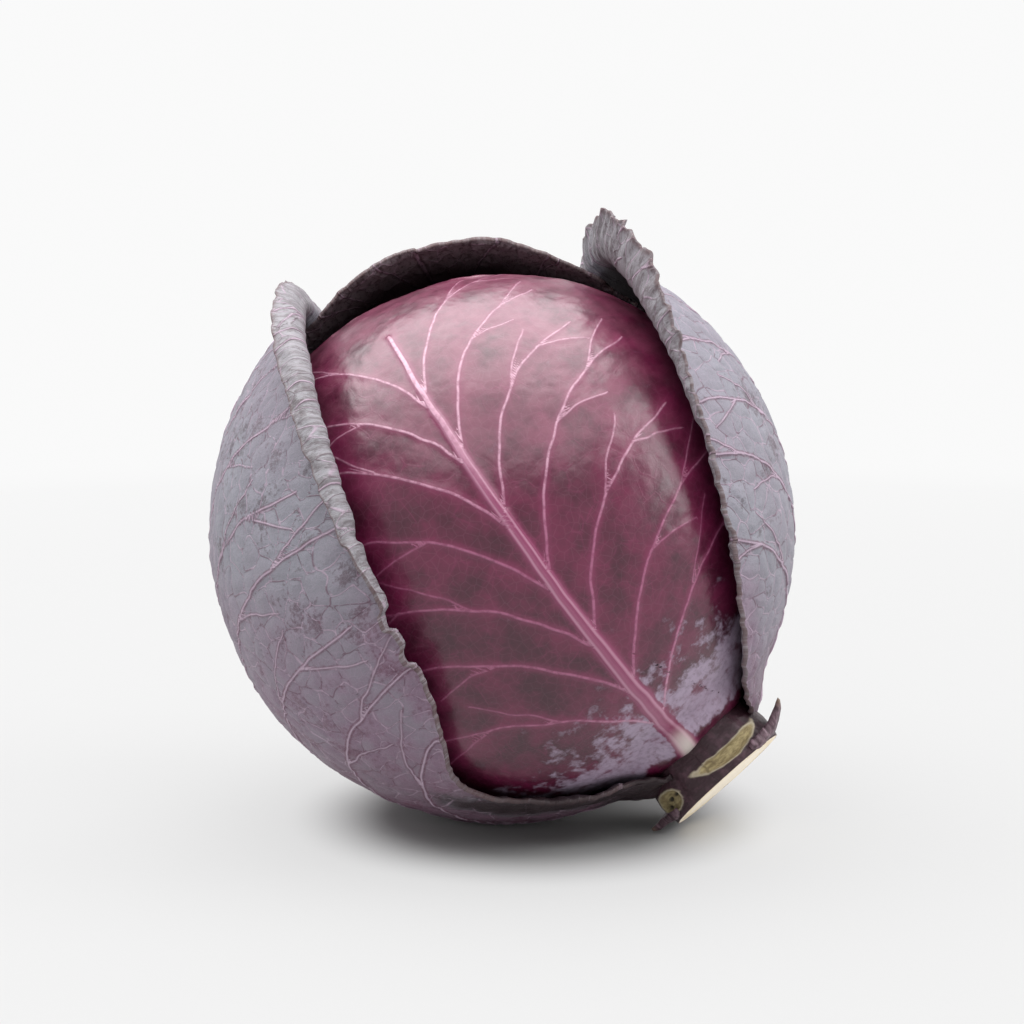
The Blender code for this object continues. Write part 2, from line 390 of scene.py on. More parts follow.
@dataclass
class Fields:
    """What is measured at every point of a leaf, for its shape and its finish."""

    place: Array
    lip: Array
    offset: Array
    gap: Array
    width: Array
    net_offset: Array
    net_gap: Array
    net_cell: Array
    from_stem: Array
    to_rim: Array
    run: Array
    lip_width: Array
    groove: Array | None = None


def build_mesh(name: str, points: Array, faces: list, finishes: list, marks: dict[str, Array],
               slots: Array | None = None, layout: Array | None = None) -> bpy.types.Object:
    """Make one smooth-shaded piece from points and faces.

    Args:
        name: Name of the piece.
        points: Positions in the frame.
        faces: Tuples of point numbers.
        finishes: Materials in slot order.
        marks: Values kept at each point for the finish, three to a point.
        slots: Material slot of each face.
        layout: Flat layout position of each face corner.

    Returns:
        The new object.
    """
    mesh = bpy.data.meshes.new(name)
    mesh.from_pydata(points.tolist(), [], faces)
    for finish in finishes:
        mesh.materials.append(finish)
    if slots is not None:
        mesh.polygons.foreach_set("material_index", np.asarray(slots, np.int32))
    for label, values in marks.items():
        mark = mesh.attributes.new(label, "FLOAT_VECTOR", "POINT")
        mark.data.foreach_set("vector", np.ascontiguousarray(values, np.float32).ravel())
    if layout is not None:
        sheet = mesh.uv_layers.new(name="OFBake")
        sheet.uv.foreach_set("vector", np.ascontiguousarray(layout, np.float32).ravel())
    mesh.shade_smooth()
    mesh.update()
    piece = bpy.data.objects.new(name, mesh)
    bpy.context.collection.objects.link(piece)
    return piece


def hand_over(piece: bpy.types.Object, node: str, slot: str) -> None:
    """Let a finished piece take the place of its plain solid.

    Args:
        piece: The finished piece.
        node: The node of the frame it replaces.
        slot: The finish slot it belongs to.
    """
    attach(piece, BODY)
    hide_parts(node)
    LOG.info("%s: %d faces, finish slot %s", node, len(piece.data.polygons), slot)


@dataclass
class Leaf:
    """One leaf grown round its own middle direction, with veins, a turned margin and a worked surface."""

    node: str
    slot: str
    centre: tuple[float, float, float]
    tip: tuple[float, float, float]
    radius: float
    outline: Outline
    veins: tuple[Vein, ...]
    seed: int
    leans: bool = False
    lip_calm: float = 0.8
    thickness: float = 0.0013
    rib_thickness: float = 0.0022
    blade_rings: int = 100
    lip_rings: int = 24
    inner_from: int = 96
    stride: int = 4
    net: CellNet = field(default_factory=lambda: CellNet(7.0, 3))
    pleats: Pleats = field(default_factory=Pleats)
    relief: Relief = field(default_factory=Relief)

    def axes(self) -> tuple[Array, Array, Array]:
        """The middle direction, the way to the tip, and the way to the side."""
        centre = unit(self.centre)
        tip = unit(self.tip)
        tipward = unit(tip - centre * (tip @ centre))
        return centre, tipward, np.cross(tipward, centre)

    def direction(self, place: Array) -> Array:
        """Turn flat map positions in degrees into directions from the head's middle."""
        centre, tipward, sideward = self.axes()
        reach = np.linalg.norm(place, axis=-1, keepdims=True)
        out = (place[..., 1:] * tipward + place[..., :1] * sideward) / np.maximum(reach, 1e-9)
        return np.cos(np.radians(reach)) * centre + np.sin(np.radians(reach)) * out

    def rim_reach(self, angle: Array) -> Array:
        """How far out the crest of the rim lies, kept clear of the stem.

        Args:
            angle: Degrees round the leaf from its tip.

        Returns:
            Reach in degrees.
        """
        centre, tipward, sideward = self.axes()
        stem_reach = np.degrees(np.arccos(STEM_AXIS @ centre))
        stem_angle = np.degrees(np.arctan2(STEM_AXIS @ sideward, STEM_AXIS @ tipward))
        off = (np.mod(angle - stem_angle + 180.0, 360.0) - 180.0) * np.sin(np.radians(stem_reach))
        near = abs(off) < STEM_CLEARANCE
        stop = stem_reach - np.sqrt(np.where(near, STEM_CLEARANCE ** 2 - off ** 2, 0.0))
        reach = self.outline.reach.read(angle)
        run = self.margin_length(angle)
        rough = Grain.layered(run[:, None], 9.0, self.seed + 40, 3) * 0.45
        notch = ease(Grain.smooth(run[:, None], 5.5, self.seed + 41), 0.35, 0.85) * self.pleats.notch_mm
        flat = 1 - 0.85 * ease(self.outline.lip.read(angle), 1.8, 3.2)
        rough, notch = rough * flat, notch * flat
        reach = reach + rough - np.degrees(notch * MM / self.radius)
        return np.where(near, np.minimum(reach, stop), reach)

    def margin_length(self, angle: Array) -> Array:
        """Distance along the margin in mm at an angle round the leaf."""
        return np.radians(angle) * self.radius / MM

    def measure(self, ring: Array, angle: Array) -> Fields:
        """Measure the veins and the net at every point of the sheet.

        Args:
            ring: Ring number of each point.
            angle: Degrees round the leaf of each point.

        Returns:
            The measured fields.
        """
        rim = self.rim_reach(angle)
        share = ring / self.blade_rings
        lip = np.clip((ring - self.blade_rings) / self.lip_rings, 0.0, 1.0)
        width = self.outline.lip.read(angle)
        reach = rim * np.minimum(share, 1.0) + np.degrees(lip * width * MM / self.radius)
        turn = np.radians(angle)
        place = np.stack((reach * np.sin(turn), reach * np.cos(turn)), axis=-1)
        scale = self.radius / MM
        points = self.direction(place) * scale
        offset, gap, vein_width = self.measure_veins(points, place, scale)
        net_offset, net_gap, net_cell = self.net.measure(np.radians(place) * scale)
        from_stem = np.degrees(np.arccos(np.clip(self.direction(place) @ STEM_AXIS, -1, 1)))
        to_rim = (rim * (1 - np.minimum(share, 1.0))) * scale * np.pi / 180
        return Fields(np.radians(place) * scale, lip, offset, gap, vein_width, net_offset, net_gap, net_cell,
                      from_stem, to_rim, self.margin_length(angle), width)

    def measure_veins(self, points: Array, place: Array, scale: float) -> tuple[Array, Array, Array]:
        """Find each point's nearest vein.

        Args:
            points: Points on a ball of the leaf's radius, in mm.
            place: The same points on the flat map, in degrees.
            scale: The leaf's radius in mm.

        Returns:
            The distance to the vein signed by side, its size, and the vein's width there, all in mm.
        """
        offset = np.full(len(points), 30.0)
        gap = np.full(len(points), 30.0)
        width = np.full(len(points), 0.5)
        score = np.full(len(points), 30.0)
        for number, vein in enumerate(self.veins):
            line, widths = vein.path(self.seed + number)
            knots = self.direction(line) * scale
            low, high = line.min(axis=0) - 14.0, line.max(axis=0) + 14.0
            near = np.flatnonzero(np.all((place > low) & (place < high), axis=1))
            for start in range(0, len(near), 6000):
                rows = near[start:start + 6000]
                from_knot = points[rows][:, None] - knots[None, :-1]
                along = knots[1:] - knots[:-1]
                share = np.clip(np.einsum("psk,sk->ps", from_knot, along) / (along ** 2).sum(axis=1), 0, 1)
                away = from_knot - share[..., None] * along
                length = np.linalg.norm(away, axis=-1)
                best = length.argmin(axis=1)
                pick = np.arange(len(rows))
                distance = length[pick, best]
                here = mixed(widths[best], widths[best + 1], share[pick, best])
                side = np.einsum("pk,pk->p", np.cross(along[best], away[pick, best]), points[rows])
                beyond = distance - here / 2
                better = beyond < score[rows]
                score[rows] = np.where(better, beyond, score[rows])
                gap[rows] = np.where(better, distance, gap[rows])
                offset[rows] = np.where(better, distance * np.sign(side), offset[rows])
                width[rows] = np.where(better, here, width[rows])
        return offset, gap, width

    def relief_height(self, fields: Fields, direction: Array) -> Array:
        """How far the worked surface stands off the plain one, in metres.

        Args:
            fields: The measured fields.
            direction: Unit directions from the head's middle.

        Returns:
            One height per point.
        """
        points = direction * self.radius / MM
        relief = self.relief
        swell = Grain.layered(points, relief.swell_size_mm, self.seed + 50, 3) * relief.swell_mm
        spread = np.maximum(fields.width * 0.55, 0.9)
        ridge = relief.vein_mm * np.clip(fields.width / 1.2, 0.4, 3.0) * np.exp(-(fields.gap / spread) ** 2)
        valley = -0.5 * relief.quilt_mm * np.exp(-(fields.gap / 3.5) ** 2)
        quilt = relief.quilt_mm * (ease(fields.net_gap, 0, 2.2) - 0.6)
        fine = Grain.layered(points, 3.5, self.seed + 60, 2) * 0.10 * relief.quilt_mm / 0.3
        narrow = 1 - 0.85 * ease(fields.lip_width, 1.8, 4.0)
        pucker_zone = np.exp(-fields.to_rim / 11.0) * (1 - fields.lip) * narrow
        pucker = Grain.layered(points, 7.0, self.seed + 70, 2) * relief.pucker_mm * pucker_zone
        return (swell + ridge + valley + quilt + fine + pucker - relief.settle_mm) * MM

    def surface(self, ring: Array, angle: Array) -> tuple[Array, Array, Array, Fields]:
        """Points and outward normals of the outer face, from the head's middle.

        Args:
            ring: Ring number of each point.
            angle: Degrees round the leaf of each point.

        Returns:
            Points, normals, thickness at each point, and the measured fields.
        """
        centre, tipward, sideward = self.axes()
        fields = self.measure(ring, angle)
        rim = self.rim_reach(angle)
        share = np.minimum(ring / self.blade_rings, 1.0)
        reach = np.radians(rim * share)[:, None]
        turn = np.radians(angle)[:, None]
        outward = np.cos(turn) * tipward + np.sin(turn) * sideward
        direction = np.cos(reach) * centre + np.sin(reach) * outward
        tangent = np.cos(reach) * outward - np.sin(reach) * centre
        radius = self.radius + self.outline.rise.read(angle) * MM * share ** RISE_POWER
        if self.leans:
            radius = radius + direction @ OUTER_LEAN
        from_stem = np.degrees(np.arccos(np.clip(direction @ STEM_AXIS, -1, 1)))
        radius = radius + BASE_RISE * np.exp(-((from_stem - STEM_CLEARANCE) / BASE_RISE_WIDTH) ** 2)
        height = self.relief_height(fields, direction)
        run = self.margin_length(angle)
        lip = fields.lip
        width = self.outline.lip.read(angle)
        scallop = self.pleats.scallop_mm * (1.2 * Grain.layered(run[:, None], 6.5, self.seed + 80, 3)
                                            + 0.5 * np.sqrt(abs(np.sin(run * np.pi / 6.3))))
        frayed = scallop * ease(width, 1.0, 5.0) * 2.0 * lip ** 3 * MM
        calm = 1 - self.lip_calm * ease(lip, 0.0, 0.25) * ease(width, 1.5, 3.5)
        width = np.maximum(width, 0.6) * MM
        curl = 14 * Grain.smooth(run[:, None], 16.0, self.seed + 81)
        end = np.radians(self.outline.turn.read(angle) + curl)
        across, lift = self.lip_curve(lip, end)
        bend = end * self.bend_ease(lip)
        point = radius[:, None] * direction
        point = point + (width * across)[:, None] * tangent + (width * lift)[:, None] * direction
        fray_out, fray_up = frayed * np.cos(bend), frayed * np.sin(bend)
        point = point + fray_out[:, None] * tangent + fray_up[:, None] * direction
        normal = np.cos(bend)[:, None] * direction - np.sin(bend)[:, None] * tangent
        phase = run + self.pleats.slant * lip * width / MM
        phase = phase + 1.3 * Grain.smooth(np.stack((run, lip * 6), axis=-1), 8.0, self.seed + 82)
        wave = np.sin(phase * 2 * np.pi / self.pleats.spacing_mm)
        wave = wave + 0.5 * np.sin(phase * 2 * np.pi / self.pleats.spacing_mm * 0.47 + 1.0)
        reach_in = np.exp(-fields.to_rim / 4.0)
        size = self.pleats.depth_mm * (0.15 * reach_in + 0.85 * lip) * np.clip(width / MM / 8.0, 0.1, 1.6)
        ruffle = self.pleats.ruffle_mm * Grain.layered(run[:, None], 19.0, self.seed + 83, 2)
        ruffle = ruffle * np.exp(-fields.to_rim / 12.0) * (1 + 0.6 * lip)
        point = point + (height * calm + (wave * size + ruffle) * MM)[:, None] * normal
        fields.groove = wave * lip
        beside_rib = np.degrees(reach[:, 0]) * np.sin(turn[:, 0]) / RIB_WIDTH
        rib = np.exp(-beside_rib ** 2) * (np.cos(turn[:, 0]) < 0)
        thickness = self.thickness + (self.rib_thickness - self.thickness) * rib * share
        thickness = thickness * (1 - 0.45 * lip * ease(width / MM, 1.0, 4.0))
        return point, normal, thickness, fields

    @staticmethod
    def bend_ease(lip: Array) -> Array:
        """Share of the lip's turn reached at a share of its width, tightest at the crest."""
        return 1 - (1 - np.clip(lip, 0, 1)) ** 3.4

    @classmethod
    def lip_curve(cls, lip: Array, end: Array) -> tuple[Array, Array]:
        """Follow the turned lip outwards from the crest.

        Args:
            lip: Share of the lip's width.
            end: How far the lip turns in all, in radians.

        Returns:
            How far it goes along the blade's direction and off it, both as shares of its width.
        """
        steps = 24
        across, lift = np.zeros_like(lip), np.zeros_like(lip)
        for step in range(steps):
            bend = end * cls.bend_ease(lip * (step + 0.5) / steps)
            across += np.cos(bend) * lip / steps
            lift += np.sin(bend) * lip / steps
        return across, lift

    def wear_and_light(self, fields: Fields, direction: Array) -> Array:
        """Three shares for the finish at each point: bloom, rubbed-off patches (painted sheen on the wrapper
        leaf), and a local tint (below zero, painted shade).
        """
        return np.zeros((len(direction), 3))

    def build(self, outer: bpy.types.Material, inner: bpy.types.Material) -> bpy.types.Object:
        """Build the leaf as a closed shell.

        Args:
            outer: Finish of the outer face.
            inner: Finish of the inner face.

        Returns:
            The leaf's object.
        """
        sheet = RingSheet(self.blade_rings + self.lip_rings)
        ring, angle = sheet.layout()
        point, normal, thickness, fields = self.surface(ring, angle)
        direction = unit(point)
        wear_and_light = self.wear_and_light(fields, direction)
        outer_points = point + HEAD_MIDDLE
        inner_points = point - normal * thickness[:, None] + HEAD_MIDDLE
        outer_points[:, 2] = np.maximum(outer_points[:, 2], FLOOR_GAP)
        inner_points[:, 2] = np.maximum(inner_points[:, 2], thickness * 0.9)
        count = len(outer_points)
        outer_faces = sheet.faces(0, self.stride)
        inner_faces = [tuple(count + index for index in reversed(face))
                       for face in sheet.faces(self.inner_from, self.stride)]
        rim = sheet.rim()
        band = [(there, here, count + here, count + there) for here, there in zip(rim, rim[1:] + rim[:1])]
        faces = outer_faces + inner_faces + band
        slots = [Side.OUTER.value] * len(outer_faces) + [Side.INNER.value] * (len(inner_faces) + len(band))
        layout = self.layout(sheet, outer_faces, inner_faces, band, count)
        if faces_inward(faces[0], outer_points, point[faces[0][0]]):
            faces = turned(faces)
            layout = [list(reversed(corners)) for corners in layout]
        marks = {
            "map": np.column_stack((fields.place, fields.lip)),
            "veins": np.column_stack((fields.offset, fields.gap, fields.width)),
            "net": np.column_stack((fields.net_offset, fields.net_gap, fields.net_cell)),
            "wear_and_light": wear_and_light,
            "margin": np.column_stack((fields.run, fields.to_rim, fields.groove)),
        }
        points = np.concatenate((outer_points, inner_points))
        marks = {label: np.concatenate((values, values)) for label, values in marks.items()}
        points, faces, marks = self.drop_unused(points, faces, marks)
        piece = build_mesh(self.node + "_skin", points, faces, [outer, inner], marks, slots,
                           np.concatenate([np.array(corners) for corners in layout]))
        hand_over(piece, self.node, self.slot)
        return piece

    @staticmethod
    def drop_unused(points: Array, faces: list,
                    marks: dict[str, Array]) -> tuple[Array, list, dict[str, Array]]:
        """Leave out the points that no face uses.

        Args:
            points: All points.
            faces: Faces by point number.
            marks: Values at the points.

        Returns:
            The points kept, the renumbered faces, and the values kept.
        """
        flat = np.concatenate([np.asarray(face) for face in faces])
        used = np.zeros(len(points), bool)
        used[flat] = True
        renumbered = (np.cumsum(used) - 1)[flat].tolist()
        result, start = [], 0
        for face in faces:
            result.append(renumbered[start:start + len(face)])
            start += len(face)
        return points[used], result, {label: values[used] for label, values in marks.items()}

    def layout(self, sheet: RingSheet, outer_faces: list, inner_faces: list, band: list, count: int) -> list:
        """Lay the shell's faces out flat: the outer face in a large square, the inner face in a small one.

        Args:
            sheet: The ring sheet.
            outer_faces: Faces of the outer side.
            inner_faces: Faces of the inner side.
            band: Faces of the rim.
            count: Number of points on one side.

        Returns:
            Positions of the corners of each face.
        """
        size = 2 * sheet.rings + 1
        number = np.arange(count)
        grid = np.stack((number % size, number // size), axis=-1) / (size - 1)
        outer = 0.015 + grid * 0.63
        inner = np.stack((0.675 + grid[:, 0] * 0.31, 0.015 + grid[:, 1] * 0.31), axis=-1)
        edge = outer + (outer - outer.mean(axis=0)) * 0.025
        corners = [outer[list(face)].tolist() for face in outer_faces]
        corners += [inner[[index - count for index in face]].tolist() for face in inner_faces]
        for there, here, here_inner, there_inner in band:
            corners.append([outer[there].tolist(), outer[here].tolist(),
                            edge[here_inner - count].tolist(), edge[there_inner - count].tolist()])
        return corners


# ---------------------------------------------------------------- finishes

Colour = tuple[float, float, float]


class Value:
    """Something a material works out at each point, which takes ordinary arithmetic."""

    def __init__(self, nodes: "Nodes", socket: bpy.types.NodeSocket) -> None:
        """Keep the socket the value comes from."""
        self.nodes = nodes
        self.socket = socket

    def __add__(self, other: object) -> "Value":
        """This plus another."""
        return self.nodes.math("ADD", self, other)

    def __radd__(self, other: object) -> "Value":
        """A number plus this."""
        return self.nodes.math("ADD", other, self)

    def __sub__(self, other: object) -> "Value":
        """This less another."""
        return self.nodes.math("SUBTRACT", self, other)

    def __rsub__(self, other: object) -> "Value":
        """A number less this."""
        return self.nodes.math("SUBTRACT", other, self)

    def __mul__(self, other: object) -> "Value":
        """This times another."""
        return self.nodes.math("MULTIPLY", self, other)

    def __truediv__(self, other: object) -> "Value":
        """This divided by another."""
        return self.nodes.math("DIVIDE", self, other)

    def __pow__(self, other: object) -> "Value":
        """This raised to a power."""
        return self.nodes.math("POWER", self, other)

    def __abs__(self) -> "Value":
        """The size of this."""
        return self.nodes.math("ABSOLUTE", self)


class Nodes:
    """Builds one material from small steps."""

    def __init__(self, name: str) -> None:
        """Start a material with its shader ready."""
        self.material = bpy.data.materials.new(name)
        self.material.use_nodes = True
        self.tree = self.material.node_tree
        self.shader = self.tree.nodes["Principled BSDF"]

    def put(self, kind: str, settings: dict | None = None, **inputs: object) -> bpy.types.Node:
        """Add a node.

        Args:
            kind: Node type.
            settings: Properties of the node.
            inputs: Input sockets by name, with underscores for spaces: a socket to link, or a value.

        Returns:
            The node.
        """
        node = self.tree.nodes.new(kind)
        for label, value in (settings or {}).items():
            setattr(node, label, value)
        for label, value in inputs.items():
            self.feed(node.inputs[label.replace("_", " ")], value)
        return node

    def feed(self, socket: bpy.types.NodeSocket, value: object) -> None:
        """Link a socket to an input, or set the input's value."""
        if isinstance(value, Value):
            self.tree.links.new(value.socket, socket)
        elif isinstance(value, tuple) and len(value) == 3 and socket.type == "RGBA":
            socket.default_value = (*value, 1.0)
        else:
            socket.default_value = value

    def give(self, kind: str, output: int | str = 0, settings: dict | None = None, **inputs: object) -> Value:
        """Add a node and take one of its outputs, by number or by name."""
        return Value(self, self.put(kind, settings, **inputs).outputs[output])

    def mark(self, name: str) -> tuple[Value, list[Value]]:
        """Read a value kept on the mesh, whole and as its three parts."""
        whole = self.give("ShaderNodeAttribute", "Vector", {"attribute_name": name})
        return whole, self.parts(whole)

    def parts(self, whole: Value) -> list[Value]:
        """The three parts of a position."""
        return [Value(self, part) for part in self.put("ShaderNodeSeparateXYZ", Vector=whole).outputs]

    def point(self, across: object, up: object, out: object) -> Value:
        """Put three parts together as a position."""
        return self.give("ShaderNodeCombineXYZ", X=across, Y=up, Z=out)

    def stretched(self, vector: Value, scale: tuple[float, float, float]) -> Value:
        """Scale a position along each axis."""
        return self.give("ShaderNodeMapping", Vector=vector, Scale=scale)

    def math(self, operation: str, first: object, second: object = 0.0) -> Value:
        """Combine two values."""
        node = self.put("ShaderNodeMath", {"operation": operation})
        self.feed(node.inputs[0], first)
        self.feed(node.inputs[1], second)
        return Value(self, node.outputs[0])

    def ramp(self, value: object, low: object, high: object, start: float = 0.0, end: float = 1.0) -> Value:
        """Go smoothly from start to end as the value goes from low to high."""
        return self.give("ShaderNodeMapRange", "Result", {"interpolation_type": "SMOOTHSTEP"}, Value=value,
                         From_Min=low, From_Max=high, To_Min=start, To_Max=end)

    def blend(self, share: object, first: object, second: object) -> Value:
        """Blend two colours."""
        node = self.put("ShaderNodeMix", {"data_type": "RGBA"})
        self.feed(node.inputs["Factor"], share)
        self.feed(node.inputs[6], first)
        self.feed(node.inputs[7], second)
        return Value(self, node.outputs[2])

    def noise(self, vector: Value, scale: float, detail: float = 3.0, rough: float = 0.55) -> Value:
        """Cloudy noise from 0 to 1."""
        return self.give("ShaderNodeTexNoise", Vector=vector, Scale=scale, Detail=detail, Roughness=rough)

    def cell_edges(self, vector: Value, scale: float) -> Value:
        """Distance to the nearest border between scattered cells."""
        return self.give("ShaderNodeTexVoronoi", "Distance",
                         {"feature": "DISTANCE_TO_EDGE", "voronoi_dimensions": "2D"},
                         Vector=vector, Scale=scale)

    def line(self, offset: Value, gap: Value, width: object, reach: float, soft: float) -> Value:
        """A crisp line where the signed distance passes zero.

        Args:
            offset: Signed distance in mm.
            gap: Its size.
            width: Width of the line in mm.
            reach: Spacing of the mesh in mm, beyond which the sign isn't trusted.
            soft: Width of the line's soft edge in mm.

        Returns:
            1 on the line and 0 off it.
        """
        away = self.math("MAXIMUM", abs(offset), gap - reach)
        half = self.math("MULTIPLY", width, 0.5)
        return self.ramp(away - half, -soft * 0.4, soft, 1.0, 0.0)

    def bump(self, height: Value, distance: float) -> Value:
        """Tilt the surface by a height, whose full range stands for the distance in metres."""
        return self.give("ShaderNodeBump", Strength=1.0, Distance=distance, Height=height)

    def finish(self, colour: object, rough: object, normal: object = None,
               level: float = 0.5) -> bpy.types.Material:
        """Close the material.

        Args:
            colour: Base colour.
            rough: Roughness.
            normal: Bumped normal.
            level: Specular level.

        Returns:
            The material.
        """
        self.feed(self.shader.inputs["Base Color"], colour)
        self.feed(self.shader.inputs["Roughness"], rough)
        self.shader.inputs["Specular IOR Level"].default_value = level
        if normal is not None:
            self.feed(self.shader.inputs["Normal"], normal)
        return self.material


@dataclass(frozen=True)
class WrapperFinish:
    """The glossy magenta skin of a tightly wrapped leaf, with pale pink veins, some bloom at its base, and
    painted sheen.
    """

    name: str = "wrapper_skin"
    deep: Colour = (0.042, 0.0018, 0.0130)
    wine: Colour = (0.125, 0.0080, 0.0420)
    # Colour of the painted sheen: the overhead light's milky pink reflection.
    painted_sheen: Colour = (0.205, 0.050, 0.092)
    halo: Colour = (0.200, 0.022, 0.082)
    vein: Colour = (0.600, 0.330, 0.440)
    low_vein: Colour = (0.350, 0.105, 0.200)
    midrib: Colour = (0.290, 0.070, 0.150)
    pale_base: Colour = (0.640, 0.580, 0.540)
    bloom: Colour = (0.350, 0.275, 0.370)
    spacing: float = 0.9
    coat: float = 0.25
    coat_rough: float = 0.26

    def build(self) -> bpy.types.Material:
        """Build the material."""
        nodes = Nodes(self.name)
        place, _ = nodes.mark("map")
        _, (offset, gap, width) = nodes.mark("veins")
        _, (net_offset, net_gap, cell) = nodes.mark("net")
        _, (bloom, rub_and_sheen, pale) = nodes.mark("wear_and_light")
        cloud = nodes.noise(place, 0.075, 4.0)
        fine_cloud = nodes.noise(place, 0.5, 5.0, 0.62)
        streaks = nodes.noise(nodes.point(offset, gap * 0.2, 0.0), 0.9, 4.0, 0.6)
        blush = (nodes.ramp(cloud, 0.38, 0.66, 0.05, 0.75) + nodes.ramp(gap, 8.0, 0.0) ** 1.6 * 0.35
                 + (cell - 0.5) * 0.22 + (fine_cloud - 0.5) * 0.7)
        blush = nodes.math("MAXIMUM", nodes.math("MINIMUM", blush, 1.0), 0.0)
        colour = nodes.blend(blush, self.deep, self.wine)
        # Painted sheen: a milky pink reflection of the overhead light, laid in cloudy patches over the upper
        # leaf.
        painted_sheen = rub_and_sheen * nodes.ramp(nodes.noise(place, 0.11, 5.0, 0.6), 0.34, 0.62, 0.12, 0.62)
        colour = nodes.blend(painted_sheen, colour, self.painted_sheen)
        fine = nodes.ramp(nodes.cell_edges(place, 0.42), 0.0, 0.09, 1.0, 0.0)
        colour = nodes.blend(fine * 0.03, colour, self.vein)
        small = nodes.line(net_offset, net_gap, 0.12, self.spacing * 0.45, 0.34)
        fade = nodes.ramp(nodes.noise(place, 0.12, 2.0), 0.42, 0.68, 0.0, 0.30)
        colour = nodes.blend(small * fade, colour, self.halo)
        glow = (nodes.ramp(gap - width * 0.5, 1.5, -0.2) * nodes.ramp(width, 0.3, 1.4, 0.25, 0.62)
                * nodes.ramp(fine_cloud, 0.3, 0.6, 0.6, 1.0))
        colour = nodes.blend(glow, colour, self.halo)
        vein = nodes.line(offset, gap, width * 0.46, self.spacing * 0.45, 0.34)
        broad = nodes.ramp(width, 1.8, 3.2)
        across = gap / width
        core = nodes.blend(nodes.ramp(streaks, 0.38, 0.62), self.midrib, self.halo)
        lit = nodes.ramp(across, 0.14, 0.26) * nodes.ramp(across, 0.42, 0.30)
        core = nodes.blend(lit * 0.50, core, self.vein)
        thin = (vein * nodes.ramp(width, 0.3, 1.2, 0.55, 0.95)
                * nodes.ramp(nodes.noise(place, 0.55, 4.0), 0.34, 0.60, 0.45, 1.0))
        wide = nodes.ramp(across, 0.62, 0.36)
        share = wide * (broad * 0.9) + thin * (1.0 - broad)
        # Painted highlight: veins are paler where the painted sheen lies and darker below it.
        line = nodes.blend(nodes.ramp(rub_and_sheen, 0.0, 0.55), self.low_vein, self.vein)
        line = nodes.blend(nodes.ramp(bloom, 0.05, 0.6, 0.0, 0.55), line, self.vein)
        colour = nodes.blend(share, colour, nodes.blend(broad, line, core))
        ragged = nodes.ramp(nodes.noise(place, 0.15, 6.0, 0.62), 0.28, 0.72)
        patch = (nodes.ramp(bloom * 1.3 - ragged - wide * broad, -0.10, 0.42)
                 * nodes.ramp(fine_cloud, 0.30, 0.60, 0.58, 0.92) * nodes.ramp(vein, 0.0, 1.0, 1.0, 0.5))
        colour = nodes.blend(patch, colour, self.bloom)
        colour = nodes.blend(pale, colour, self.pale_base)
        rough = nodes.ramp(nodes.noise(place, 0.13, 5.0), 0.32, 0.70, 0.29, 0.38) + patch * 0.28
        height = nodes.noise(place, 0.45, 4.0, 0.5) * 0.55 + share * 0.55 + small * 0.08
        nodes.shader.inputs["Coat Weight"].default_value = self.coat
        nodes.shader.inputs["Coat Roughness"].default_value = self.coat_rough
        return nodes.finish(colour, rough, nodes.bump(height, 0.00016), 0.55)


